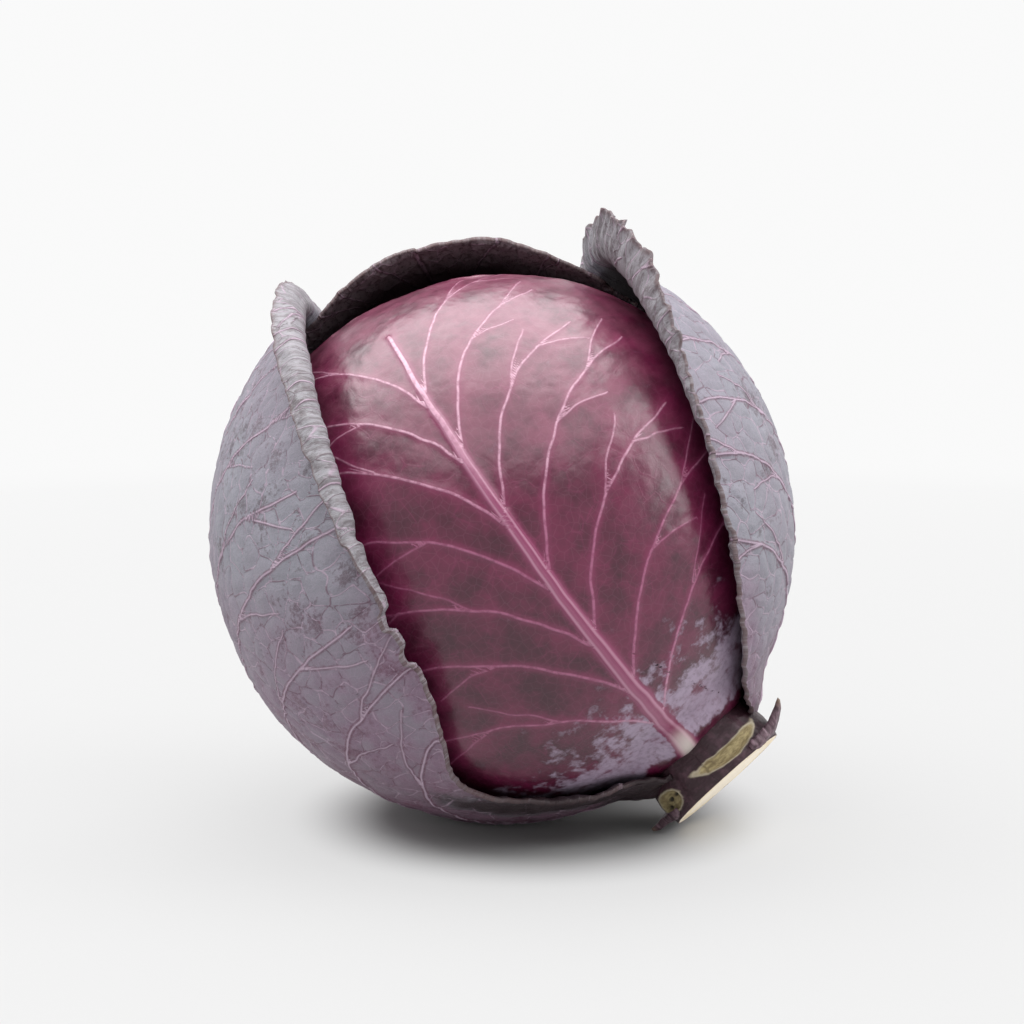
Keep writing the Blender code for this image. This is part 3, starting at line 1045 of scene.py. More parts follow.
@dataclass(frozen=True)
class BloomFinish:
    """A loose leaf's skin under grey waxy bloom, rubbed off in blotches, with pale lavender veins and painted
    shade.
    """

    name: str
    under: Colour = (0.032, 0.013, 0.019)
    magenta: Colour = (0.105, 0.030, 0.060)
    bloom: Colour = (0.262, 0.262, 0.305)
    warm_bloom: Colour = (0.215, 0.145, 0.205)
    vein: Colour = (0.410, 0.300, 0.385)
    # Colour of the painted shade.
    painted_shade: Colour = (0.016, 0.006, 0.009)
    spacing: float = 1.1
    rough: float = 0.46
    fleck: float = 0.0
    painted_shade_depth: float = 0.0
    patch_from: float = 0.88
    # Darker colour for the outermost edge of the lip.
    dark_lip_edge: Colour = (0.10, 0.055, 0.058)

    def build(self) -> bpy.types.Material:
        """Build the material."""
        nodes = Nodes(self.name)
        place, (_, _, lip) = nodes.mark("map")
        _, (offset, gap, width) = nodes.mark("veins")
        _, (net_offset, net_gap, cell) = nodes.mark("net")
        _, (bloom, rub_and_sheen, tint_and_shade) = nodes.mark("wear_and_light")
        _, (run, depth, groove) = nodes.mark("margin")
        cloud = nodes.noise(place, 0.085, 6.0, 0.66)
        fine_cloud = nodes.noise(place, 0.70, 6.0, 0.68)
        grit = nodes.noise(place, 2.4, 4.0, 0.65)
        streaks = nodes.noise(nodes.point(run, depth * 0.12, lip * 1.2), 0.8, 5.0, 0.62)
        wanted = cell * 0.10 + cloud * 0.9 + fine_cloud * 0.55 + rub_and_sheen * 0.22
        blotch = (nodes.ramp(wanted, self.patch_from, self.patch_from + 0.13)
                  * nodes.ramp(grit, 0.34, 0.58, 0.40, 1.0))
        on_lip = nodes.ramp(lip, 0.0, 0.12)
        furrow = streaks * on_lip - groove * 0.05
        cover = (bloom * nodes.ramp(cloud, 0.3, 0.7, 0.80, 1.0) * nodes.ramp(grit, 0.35, 0.65, 0.86, 1.0)
                 * (1.0 - blotch * 0.74) * nodes.ramp(furrow, 0.44, 0.66, 1.0, 0.50))
        base = nodes.blend(tint_and_shade, self.under, self.magenta)
        warmth = tint_and_shade * nodes.ramp(cloud, 0.35, 0.62, 0.55, 1.25)
        colour = nodes.blend(cover, base, nodes.blend(warmth, self.bloom, self.warm_bloom))
        fine = nodes.ramp(nodes.cell_edges(place, 0.42), 0.0, 0.10, 1.0, 0.0)
        colour = nodes.blend(fine * 0.10, colour, self.vein)
        small = nodes.line(net_offset, net_gap, 0.12, self.spacing * 0.45, 0.30)
        dark = nodes.ramp(nodes.noise(place, 0.16, 3.0), 0.46, 0.58)
        colour = nodes.blend(small * 0.72, colour, nodes.blend(dark, self.vein, self.magenta))
        # Painted shade: a darker magenta line along both edges of each vein, for the shade beside the raised
        # vein.
        edge_gap = abs(gap - width * 0.62)
        rim = (nodes.ramp(edge_gap, 0.55, 0.05) * nodes.ramp(width, 0.3, 1.0, 0.35, 0.80)
               * nodes.ramp(fine_cloud, 0.36, 0.56, 0.25, 1.0))
        colour = nodes.blend(rim, colour, self.magenta)
        vein = nodes.line(offset, gap, width * 0.50, self.spacing * 0.45, 0.32)
        colour = nodes.blend(vein * 0.85, colour, self.vein)
        if self.fleck:
            flecks = nodes.ramp(nodes.noise(place, 0.55, 6.0, 0.72), 0.50, 0.60)
            colour = nodes.blend(flecks * self.fleck, colour, self.under)
        # Painted shade: inner faces darken with depth in from the rim.
        if self.painted_shade_depth:
            colour = nodes.blend(nodes.ramp(depth, 0.5, self.painted_shade_depth) * 0.96, colour, self.painted_shade)
        # Darker at the outermost edge of the lip.
        edge = nodes.ramp(lip, 0.84, 1.0) * nodes.ramp(fine_cloud, 0.35, 0.6, 0.25, 0.85)
        colour = nodes.blend(edge, colour, self.dark_lip_edge)
        # Painted shade where the tint falls below zero, as in the band under the head.
        colour = nodes.blend(nodes.ramp(tint_and_shade, -1.0, -0.1, 0.92, 0.0), colour, self.painted_shade)
        height = fine_cloud * 0.75 + vein * 0.9 + small * 0.40 + streaks * on_lip * 0.6 + grit * 0.20
        return nodes.finish(colour, self.rough + cover * 0.12, nodes.bump(height, 0.00034), 0.45)


@dataclass(frozen=True)
class StemFinish:
    """The stem's dark purple skin, with dry yellow-green scars where leaves were trimmed."""

    name: str = "stem_skin"
    skin: Colour = (0.028, 0.009, 0.014)
    mauve: Colour = (0.075, 0.032, 0.046)
    scar: Colour = (0.40, 0.33, 0.17)
    scar_edge: Colour = (0.60, 0.53, 0.38)
    spot: Colour = (0.035, 0.028, 0.018)
    olive: Colour = (0.22, 0.17, 0.085)
    brown: Colour = (0.13, 0.085, 0.06)

    def build(self) -> bpy.types.Material:
        """Build the material."""
        nodes = Nodes(self.name)
        place, _ = nodes.mark("map")
        _, (scar, edge, spot) = nodes.mark("wear_and_light")
        cloud = nodes.noise(place, 0.35, 5.0, 0.65)
        fibre = nodes.noise(nodes.stretched(place, (1.0, 0.22, 1.0)), 1.5, 5.0, 0.7)
        skin = nodes.blend(nodes.ramp(cloud, 0.42, 0.72), self.skin, self.mauve)
        dry = nodes.blend(nodes.ramp(fibre, 0.38, 0.66), self.olive, self.scar)
        dry = nodes.blend(nodes.ramp(cloud, 0.5, 0.8, 0.0, 0.6), dry, self.brown)
        colour = nodes.blend(scar, skin, dry)
        colour = nodes.blend(edge, colour, self.scar_edge)
        colour = nodes.blend(spot, colour, self.spot)
        rough = nodes.ramp(scar, 0.0, 1.0, 0.42, 0.75)
        return nodes.finish(colour, rough, nodes.bump(fibre + cloud * 0.7, 0.0003), 0.4)


@dataclass(frozen=True)
class CutFinish:
    """The freshly cut face of the stem: pale, with a cream rim under the skin and faint knife marks."""

    name: str = "stem_cut"
    flesh: Colour = (1.0, 0.90, 0.74)
    cream: Colour = (0.86, 0.68, 0.40)
    skin: Colour = (0.16, 0.07, 0.07)

    def build(self) -> bpy.types.Material:
        """Build the material."""
        nodes = Nodes(self.name)
        place, (_, _, radius) = nodes.mark("map")
        scratch = nodes.noise(nodes.stretched(place, (0.12, 1.6, 1.0)), 1.1, 4.0, 0.6)
        out = radius + (nodes.noise(place, 0.35, 3.0) - 0.5) * 1.4
        ring = nodes.ramp(out, 12.6, 14.8) * nodes.ramp(out, 17.4, 15.6)
        colour = nodes.blend(ring * 0.55, self.flesh, self.cream)
        colour = nodes.blend(nodes.ramp(scratch, 0.5, 0.75, 0.0, 0.28), colour, self.cream)
        colour = nodes.blend(nodes.ramp(radius, 17.1, 17.9), colour, self.skin)
        return nodes.finish(colour, nodes.ramp(scratch, 0.3, 0.7, 0.5, 0.7), nodes.bump(scratch, 0.0002), 0.4)


@dataclass(frozen=True)
class StubFinish:
    """A trimmed leaf's stub: grey-purple skin that darkens to its dry tip."""

    name: str = "stub_skin"
    mauve: Colour = (0.20, 0.125, 0.155)
    dark: Colour = (0.045, 0.020, 0.028)
    dry: Colour = (0.17, 0.11, 0.07)

    def build(self) -> bpy.types.Material:
        """Build the material."""
        nodes = Nodes(self.name)
        place, (_, _, out) = nodes.mark("map")
        cloud = nodes.noise(place, 0.8, 5.0, 0.65)
        colour = nodes.blend(nodes.ramp(cloud, 0.35, 0.7), self.dark, self.mauve)
        colour = nodes.blend(nodes.ramp(out, 0.72, 1.0, 0.0, 0.8), colour, self.dry)
        return nodes.finish(colour, 0.5, nodes.bump(cloud, 0.0003), 0.4)


# ---------------------------------------------------------------- the leaves

MIDRIB_STEPS = 6
VEIN_STEPS = 5
LOWEST_VEIN = 0.16
HIGHEST_VEIN = 0.92
FIRST_FORK = 0.48
NEXT_FORK = 0.26
FORK_GAP = 0.16


@dataclass(frozen=True)
class Venation:
    """How a leaf's veins grow: a midrib that bows from the stem to the tip, with side veins that fork."""

    foot: tuple[float, float]
    head: tuple[float, float]
    bow: float
    midrib_mm: tuple[float, float]
    midrib_height: float
    spread: float
    pairs: int
    width_mm: float = 1.4
    lean: float = 0.62
    forks: int = 2

    def on_midrib(self, share: float) -> tuple[float, float]:
        """The map position a share of the way up the midrib."""
        (foot_x, foot_y), (head_x, head_y) = self.foot, self.head
        bowed = self.bow * math.sin(math.pi * share)
        return foot_x + (head_x - foot_x) * share + bowed, foot_y + (head_y - foot_y) * share

    def midrib(self) -> Vein:
        """The midrib, from the stem up to the tip."""
        points = tuple(self.on_midrib(step / MIDRIB_STEPS) for step in range(MIDRIB_STEPS + 1))
        return Vein(points, self.midrib_mm, self.midrib_height, 0.3)

    def branch(self, number: int, side: int) -> tuple[Vein, ...]:
        """Grow one side vein with its forks.

        Args:
            number: Which side vein, counted from the stem.
            side: 1 for the right-hand side with the tip up, -1 for the left.

        Returns:
            The side vein and its forks.
        """
        share = LOWEST_VEIN + (HIGHEST_VEIN - LOWEST_VEIN) * (number + 0.25 * (side > 0)) / self.pairs
        root_x, root_y = self.on_midrib(share)
        reach = self.spread * (1.0 - 0.35 * share + 0.07 * math.sin(2.3 * number + side))
        climb = reach * (self.lean + 0.35 * share)

        def along(part: float, lift: float = 0.0) -> tuple[float, float]:
            """A point part of the way out: it leaves close to the midrib and arches away from it."""
            arch = part + 0.22 * math.sin(math.pi * part)
            return root_x + side * reach * part ** 1.25, root_y + climb * arch + lift

        width = self.width_mm * (1.0 - 0.45 * share)
        points = tuple(along(step / VEIN_STEPS) for step in range(VEIN_STEPS + 1))
        veins = [Vein(points, (width, 0.45 * width))]
        for fork in range(self.forks):
            start = FIRST_FORK + NEXT_FORK * fork
            way = -1 if (fork + number) % 2 else 1
            gap = FORK_GAP * reach * way
            veins.append(Vein((along(start), along(start + 0.12, 0.45 * gap), along(start + NEXT_FORK, gap)),
                              (0.55 * width, 0.3 * width), 0.25, 0.7))
        return tuple(veins)

    def veins(self) -> tuple[Vein, ...]:
        """The midrib and the side veins on both sides."""
        grown = [self.midrib()]
        for side in (1, -1):
            for number in range(self.pairs):
                grown.extend(self.branch(number, side))
        return tuple(grown)


FRONT_VENATION = Venation((13, -80), (6, 58), -1.5, (6.4, 1.5), 0.9, 52.0, 7)
LEFT_VENATION = Venation((29, -90), (0, 84), -6.0, (6.0, 1.2), 1.0, 66.0, 8, 1.6)
RIGHT_VENATION = Venation((-29, -50), (0, 66), 2.0, (5.0, 1.2), 1.0, 50.0, 6, 1.5, 0.75)
BACK_VENATION = Venation((-43, -92), (0, 80), 8.0, (5.5, 1.2), 0.6, 66.0, 6, 1.2, 0.75)
HEAD_VENATION = Venation((-30, -80), (0, 70), 4.0, (3.0, 0.8), 0.6, 54.0, 4, 0.9, 0.75)


class FrontLeaf(Leaf):
    """The tightly wrapped leaf over the front of the head."""

    def relief_height(self, fields: Fields, direction: Array) -> Array:
        """The worked surface, drawn in a little at the top."""
        return super().relief_height(fields, direction) - 0.0014 * ease(direction[:, 2], 0.60, 0.97)

    def wear_and_light(self, fields: Fields, direction: Array) -> Array:
        """Bloom round the base and along the lower margin, painted sheen over the upper part fading to the
        right, and a pale end to the midrib.
        """
        base = ease(-fields.from_stem, -58, -16)
        low = ease(-direction[:, 2], 0.66, 1.0) * 0.72
        right = ease(direction[:, 0], 0.55, 0.90) * ease(-direction[:, 2], 0.1, 0.6) * 0.5
        bloom = np.clip(np.maximum.reduce((base * 0.88, low, right)), 0, 1)
        bloom = bloom * ease(fields.from_stem, 13.0, 18.5)
        # Painted sheen: the overhead light's reflection, strongest high on the leaf and weaker to the right.
        rub_and_sheen = ease(direction[:, 2], 0.02, 0.85) * (1 - 0.65 * ease(direction[:, 0], 0.20, 0.75))
        on_rib = ease(-fields.gap, -3.2, -0.5) * ease(fields.width, 3.0, 4.2)
        pale = on_rib * ease(-fields.from_stem, -24, -14) * 0.9
        return np.column_stack((bloom, rub_and_sheen, pale))


class LooseLeaf(Leaf):
    """A loose outer leaf under grey bloom."""

    def wear_and_light(self, fields: Fields, direction: Array) -> Array:
        """Bloom thinning towards the underside, rubbed patches, and magenta where it is thin."""
        under = ease(-direction[:, 2], 0.45, 0.95)
        stem = ease(-fields.from_stem, -32, -14)
        bloom = 0.97 - 0.55 * under - 0.35 * stem
        rub_and_sheen = 0.22 + 0.5 * Grain.layered(direction * WEAR_BALL_MM, 34.0, self.seed + 91, 2)
        rub_and_sheen = rub_and_sheen + 0.15 * under
        low = ease(-direction[:, 2], -0.10, 0.55)
        low = np.maximum(low, ease(-fields.to_rim, -16, -3) * ease(-direction[:, 2], -0.2, 0.3))
        cloud = Grain.layered(direction * WEAR_BALL_MM, 18.0, self.seed + 92, 2)
        tint_and_shade = np.clip(0.12 + 0.75 * low + 0.3 * cloud, 0, 1)
        return np.column_stack((np.clip(bloom, 0, 1), np.clip(rub_and_sheen, 0, 1), tint_and_shade))


class UndersideLeaf(LooseLeaf):
    """The loose leaf the head lies on, thick, with painted shade darkening a band under the head."""

    def relief_height(self, fields: Fields, direction: Array) -> Array:
        """The worked surface, with long folds that run up from the stem."""
        height = super().relief_height(fields, direction)
        turn = np.arctan2(*np.moveaxis(fields.place, -1, 0))
        folds = np.sin(turn * 26.0 + 1.5 * Grain.smooth(fields.place, 20.0, self.seed + 95))
        return height + 0.00035 * folds * ease(-fields.from_stem, -60, -16)

    def wear_and_light(self, fields: Fields, direction: Array) -> Array:
        """The loose leaf's wear, with painted shade in the band under the head: bloom taken away and the tint
        pushed below zero.
        """
        bloom, rub_and_sheen, tint_and_shade = super().wear_and_light(fields, direction).T
        below = ease(-direction[:, 2], 0.66, 0.86) * ease(direction[:, 0], -0.42, -0.12)
        band = np.maximum(ease(-fields.to_rim, -24, -8) * below, ease(-fields.from_stem, -30, -17))
        # Painted shade: below zero the finish turns the band to its shade colour.
        tint_and_shade = tint_and_shade * (1 - 0.8 * band) - 1.1 * ease(band, 0.2, 0.9)
        return np.column_stack((bloom * (1 - 0.95 * band), rub_and_sheen, tint_and_shade))


@dataclass(frozen=True)
class PackedEdge:
    """The edge of one inner leaf seen on the tight head: a cap of the ball that stands proud."""

    middle: tuple[float, float, float]
    reach: float
    seed: int
    step_mm: float = 1.1


@dataclass
class TightHead(Leaf):
    """The tight head of inner leaves, whose overlapping edges show from above and behind."""

    edges: tuple[PackedEdge, ...] = ()

    def overlap(self, direction: Array) -> Array:
        """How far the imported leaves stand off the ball, in metres."""
        height = np.zeros(len(direction))
        for edge in self.edges:
            away = np.degrees(np.arccos(np.clip(direction @ unit(edge.middle), -1, 1)))
            limit = edge.reach + 2.2 * Grain.layered(direction * WEAR_BALL_MM, 16.0, edge.seed, 3)
            height = height + edge.step_mm * MM * ease(limit - away, -0.2, 1.0)
        return height

    def build(self, outer: bpy.types.Material, inner: bpy.types.Material) -> bpy.types.Object:
        """Build the head as one closed ball.

        Args:
            outer: Finish of the ball.
            inner: Not needed by a ball; the same finish.

        Returns:
            The head's object.
        """
        columns, rows = 300, 150
        tilt, turn = np.meshgrid(np.linspace(0, np.pi, rows + 1)[1:-1],
                                 np.linspace(0, 2 * np.pi, columns, endpoint=False), indexing="ij")
        centre, tipward, sideward = self.axes()
        direction = (np.cos(tilt)[..., None] * centre + np.sin(tilt)[..., None] *
                     (np.cos(turn)[..., None] * tipward + np.sin(turn)[..., None] * sideward)).reshape(-1, 3)
        direction = np.concatenate((direction, centre[None], -centre[None]))
        reach = np.degrees(np.arccos(np.clip(direction @ centre, -1, 1)))
        angle = np.arctan2(direction @ sideward, direction @ tipward)
        place = np.stack((reach * np.sin(angle), reach * np.cos(angle)), axis=-1)
        scale = self.radius / MM
        offset, gap, width = self.measure_veins(direction * scale, place, scale)
        net_offset, net_gap, cell = self.net.measure(np.radians(place) * scale)
        from_stem = np.degrees(np.arccos(np.clip(direction @ STEM_AXIS, -1, 1)))
        zero = np.zeros(len(direction))
        fields = Fields(np.radians(place) * scale, zero, offset, gap, width, net_offset, net_gap, cell,
                        from_stem, zero + 40.0, zero, zero)
        height = self.relief_height(fields, direction) + self.overlap(direction)
        points = direction * (self.radius + height)[:, None] + HEAD_MIDDLE
        top, bottom, last = len(points) - 2, len(points) - 1, (rows - 2) * columns
        faces = (tube_faces(rows - 1, columns) + fan_faces(top, list(range(columns)))
                 + fan_faces(bottom, list(reversed(range(last, last + columns)))))
        if faces_inward(faces[0], points, direction[0]):
            faces = turned(faces)
        # Random patches where the wrapper finish lays its painted sheen.
        rub_and_sheen = ease(Grain.layered(fields.place, 14.0, self.seed + 90, 3), 0.0, 0.5)
        marks = {
            "map": np.column_stack((fields.place, zero)),
            "veins": np.column_stack((offset, gap, width)),
            "net": np.column_stack((net_offset, net_gap, cell)),
            "wear_and_light": np.column_stack((zero, rub_and_sheen, zero)),
        }
        piece = build_mesh(self.node + "_skin", points, faces, [outer], marks)
        hand_over(piece, self.node, self.slot)
        return piece


# ---------------------------------------------------------------- the stem and its stubs

MM_PER_DEGREE = 0.3
CUT_RADIUS_MM = 18.0


@dataclass(frozen=True)
class Scar:
    """Where a leaf was trimmed off the stem: a flat dry patch."""

    angle: float
    half_angle: float
    distance: float
    half_length: float
    sink_mm: float = 1.0
    droop_mm: float = 0.0
    spots: int = 0


@dataclass
class Stem:
    """The cut stem: a short stalk with trimmed-leaf scars and a flat cut face."""

    profile: tuple[tuple[float, float], ...] = ((66.0, 17.5), (70.0, 16.6), (73.5, 16.6), (78.0, 17.6),
                                                (82.0, 18.2), (86.0, 18.3), (88.2, 17.8))
    scars: tuple[Scar, ...] = (
        Scar(24.0, 38.0, 83.2, 2.3, 1.2, -2.2),
        Scar(-52.0, 19.0, 82.6, 3.4, 1.1, 0.0, 3),
        Scar(150.0, 30.0, 81.0, 3.0, 0.9, -1.0),
        Scar(-140.0, 34.0, 82.5, 2.6, 0.9, -1.4),
    )
    columns: int = 220
    rows: int = 84
    cut_rings: int = 30
    cut_tilt_mm: float = 2.0
    seed: int = 61

    @staticmethod
    def axes() -> tuple[Array, Array, Array]:
        """The stem's axis, the way from it to the front, and the way to the upper right."""
        front = unit(np.array((0.0, -1.0, 0.0)) + STEM_AXIS * STEM_AXIS[1])
        upper = np.cross(STEM_AXIS, front)
        return STEM_AXIS, front, upper * np.sign(upper[2])

    @classmethod
    def place(cls, distance: Array, radius: Array, angle: Array) -> Array:
        """Put points beside the stem's axis.

        Args:
            distance: Distance along the axis from the head's middle, in mm.
            radius: Distance from the axis, in mm.
            angle: Degrees round it from the front.

        Returns:
            Points in the frame.
        """
        axis, front, upper = cls.axes()
        turn = np.radians(angle)[..., None]
        side = np.cos(turn) * front + np.sin(turn) * upper
        return (distance[..., None] * axis + radius[..., None] * side) * MM + HEAD_MIDDLE

    def radius_at(self, distance: Array) -> Array:
        """The stem's radius in mm at a distance along it in mm."""
        return np.interp(distance, *zip(*self.profile))

    def scar_share(self, distance: Array, angle: Array) -> tuple[Array, Array, Array, Array]:
        """Measure the scars at points of the skin.

        Args:
            distance: Distance along the axis in mm.
            angle: Degrees round the stem.

        Returns:
            Share of scar, share of raised edge, share of dark spot, and depth in mm.
        """
        scar, edge, spot, depth = (np.zeros_like(distance) for _ in range(4))
        for number, mark in enumerate(self.scars):
            off = (np.mod(angle - mark.angle + 180.0, 360.0) - 180.0) / mark.half_angle
            middle = mark.distance + mark.droop_mm * off ** 2
            along = (distance - middle) / mark.half_length
            skin_place = np.stack((distance, angle * MM_PER_DEGREE), axis=-1)
            rough = 0.16 * Grain.layered(skin_place, 2.4, self.seed + number, 3)
            inside = 1.0 - np.sqrt(off ** 2 + along ** 2) + rough
            share = ease(inside, 0.0, 0.12)
            scar = np.maximum(scar, share)
            edge = np.maximum(edge, ease(inside, -0.12, 0.02) * ease(-inside, -0.16, -0.02) * 0.7)
            depth = np.maximum(depth, mark.sink_mm * ease(inside, 0.0, 0.5))
            for index in range(mark.spots):
                where = (index - (mark.spots - 1) / 2) * 0.55
                gap = np.hypot((off - where) * 0.9, along - 0.35 * math.cos(2.0 * index)) + rough * 0.5
                spot = np.maximum(spot, ease(-gap, -0.27, -0.14))
        return scar, edge, spot, depth

    def build(self, skin: bpy.types.Material, cut: bpy.types.Material) -> bpy.types.Object:
        """Build the stem.

        Args:
            skin: Finish of its side.
            cut: Finish of the cut face.

        Returns:
            The stem's object.
        """
        ends = self.profile[0][0], self.profile[-1][0]
        distance, angle = np.meshgrid(np.linspace(*ends, self.rows),
                                      np.linspace(0, 360, self.columns, endpoint=False), indexing="ij")
        distance, angle = distance.ravel(), angle.ravel()
        scar, edge, spot, depth = self.scar_share(distance, angle)
        turn = np.radians(angle)
        around = np.stack((np.cos(turn) * 17, np.sin(turn) * 17, distance), axis=-1)
        radius = self.radius_at(distance) + 0.45 * Grain.layered(around, 8.0, self.seed, 4)
        radius = radius + 0.35 * Grain.layered(around * (1, 1, 0.3), 3.0, self.seed + 9, 3) - depth
        radius = radius + 0.25 * edge - 0.4 * spot
        ahead = (distance - ends[0]) / (ends[1] - ends[0])
        distance = distance - self.cut_tilt_mm * np.cos(turn) * radius / CUT_RADIUS_MM * ahead ** 3
        skin_points = self.place(distance, radius, angle)
        skin_marks = np.column_stack((scar, edge, spot))
        skin_map = np.column_stack((distance, angle * MM_PER_DEGREE, radius))
        first = (self.rows - 1) * self.columns
        shares = np.linspace(1, 0, self.cut_rings + 1)[1:-1]
        rim_radius = radius[first:]
        rim_angle = angle[first:]
        flat = np.full(self.columns, ends[1])
        cut_points, cut_map = [], []
        for share in shares:
            across = np.stack((rim_radius * share * np.cos(np.radians(rim_angle)),
                               rim_radius * share * np.sin(np.radians(rim_angle))), axis=-1)
            dip = 0.22 * Grain.layered(across, 6.0, self.seed + 20, 3) + 0.10 * np.sin(across[:, 0] * 1.9)
            tilt = self.cut_tilt_mm * np.cos(np.radians(rim_angle)) * rim_radius * share / CUT_RADIUS_MM
            cut_points.append(self.place(flat - tilt + dip * (1 - share ** 8), rim_radius * share, rim_angle))
            cut_map.append(np.column_stack((across, np.hypot(*across.T))))
        points = np.concatenate((skin_points, *cut_points, self.place(*np.array([[ends[1]], [0.0], [0.0]]))))
        flat_map = np.concatenate((skin_map, *cut_map, [[0.0, 0.0, 0.0]]))
        rim_map = np.column_stack((rim_radius * np.cos(np.radians(rim_angle)),
                                   rim_radius * np.sin(np.radians(rim_angle)), rim_radius))
        wear_and_light = np.zeros((len(points), 3))
        wear_and_light[:len(skin_marks)] = skin_marks
        flat_map[first:first + self.columns] = rim_map
        total_rows = self.rows + len(shares)
        last, tip = (total_rows - 1) * self.columns, len(points) - 1
        faces = tube_faces(total_rows, self.columns)
        slots = [0] * first + [1] * (len(faces) - first)
        faces += fan_faces(tip, list(reversed(range(last, last + self.columns))))
        faces.append(tuple(range(self.columns)))
        slots += [1] * self.columns + [0]
        if faces_inward(faces[0], points, points[faces[0][0]] - np.mean(points, axis=0)):
            faces = turned(faces)
        piece = build_mesh("stem_skin", points, faces, [skin, cut], {"map": flat_map, "wear_and_light": wear_and_light}, slots)
        piece.data.set_sharp_from_angle(angle=math.radians(50))
        hand_over(piece, "stem", "cut_stem")
        return piece


@dataclass
class Stub:
    """What is left of a trimmed leaf: a curved flap that springs from the stem and ends in a thorn."""

    node: str
    middle: float
    half_width: float
    root: float
    tip_distance: float
    tip_radius: float
    tip_side: float
    stem: Stem
    seed: int = 71
    gap_mm: float = 0.3
    thickness_mm: float = 2.6
    columns: int = 60
    rows: int = 36

    def build(self, finish: bpy.types.Material) -> bpy.types.Object:
        """Build the stub as a closed shell with a rounded edge.

        Args:
            finish: Its material.

        Returns:
            The stub's object.
        """
        out, across = np.meshgrid(np.linspace(0, 1, self.rows), np.linspace(-1, 1, self.columns),
                                  indexing="ij")
        height = np.exp(-(abs(across - self.tip_side) / 0.34) ** 2.4)
        ragged = 0.10 * Grain.layered(across[..., None] * 10.0, 1.6, self.seed, 3)
        height = np.clip(0.20 + 0.80 * height + ragged * (1 - height ** 2), 0.08, 1.05)
        gain = out * height
        start = self.stem.radius_at(np.array(self.root)) + self.gap_mm
        distance = self.root + (self.tip_distance - self.root) * gain ** 1.1
        spot = np.stack((distance, across * 9.0, gain * 9.0), axis=-1)
        distance = distance + 0.30 * Grain.layered(spot, 3.0, self.seed + 3, 3)
        radius = start + (self.tip_radius - start) * gain
        angle = self.middle + self.half_width * across * (1 - 0.30 * gain)
        angle = angle + 2.0 * gain * Grain.smooth(spot, 5.0, self.seed + 5)
        edge = (1 - out ** 6) * (1 - abs(across) ** 8)
        thickness = self.thickness_mm * (1.0 - 0.35 * gain) * (0.45 + 0.55 * edge)
        near = Stem.place(distance, radius, angle).reshape(-1, 3)
        far = Stem.place(distance + thickness, radius, angle).reshape(-1, 3)
        near[:, 2] = np.maximum(near[:, 2], 0.0001)
        far[:, 2] = np.maximum(far[:, 2], 0.0001)
        size = self.rows * self.columns
        faces = []
        for row in range(self.rows - 1):
            for column in range(self.columns - 1):
                corner = row * self.columns + column
                quad = (corner, corner + 1, corner + self.columns + 1, corner + self.columns)
                faces.append(quad)
                faces.append(tuple(size + index for index in reversed(quad)))
        rim = sheet_rim(self.rows, self.columns)
        for here, there in zip(rim, rim[1:] + rim[:1]):
            faces.append((there, here, size + here, size + there))
        if faces_inward(faces[0], near, -STEM_AXIS):
            faces = turned(faces)
        flat = np.stack((across.ravel() * 9.0, gain.ravel() * 9.0, gain.ravel()), axis=-1)
        marks = {"map": np.concatenate((flat, flat))}
        piece = build_mesh(self.node + "_skin", np.concatenate((near, far)), faces, [finish], marks)
        hand_over(piece, self.node, "stem_skin")
        return piece


# ---------------------------------------------------------------- the studio

@dataclass(frozen=True)
class SoftBox:
    """A rectangular soft light that faces down, or leans in from the side."""

    size: tuple[float, float]
    place: tuple[float, float, float]
    power: float
    lean: float = 0.0

    def hang(self) -> None:
        """Add the light to the scene."""
        lamp = bpy.data.lights.new("soft_box", "AREA")
        lamp.shape = "RECTANGLE"
        lamp.size, lamp.size_y = self.size
        lamp.energy = self.power
        box = bpy.data.objects.new("soft_box", lamp)
        box.location = self.place
        box.rotation_euler = (0.0, math.radians(self.lean), 0.0)
        bpy.context.collection.objects.link(box)


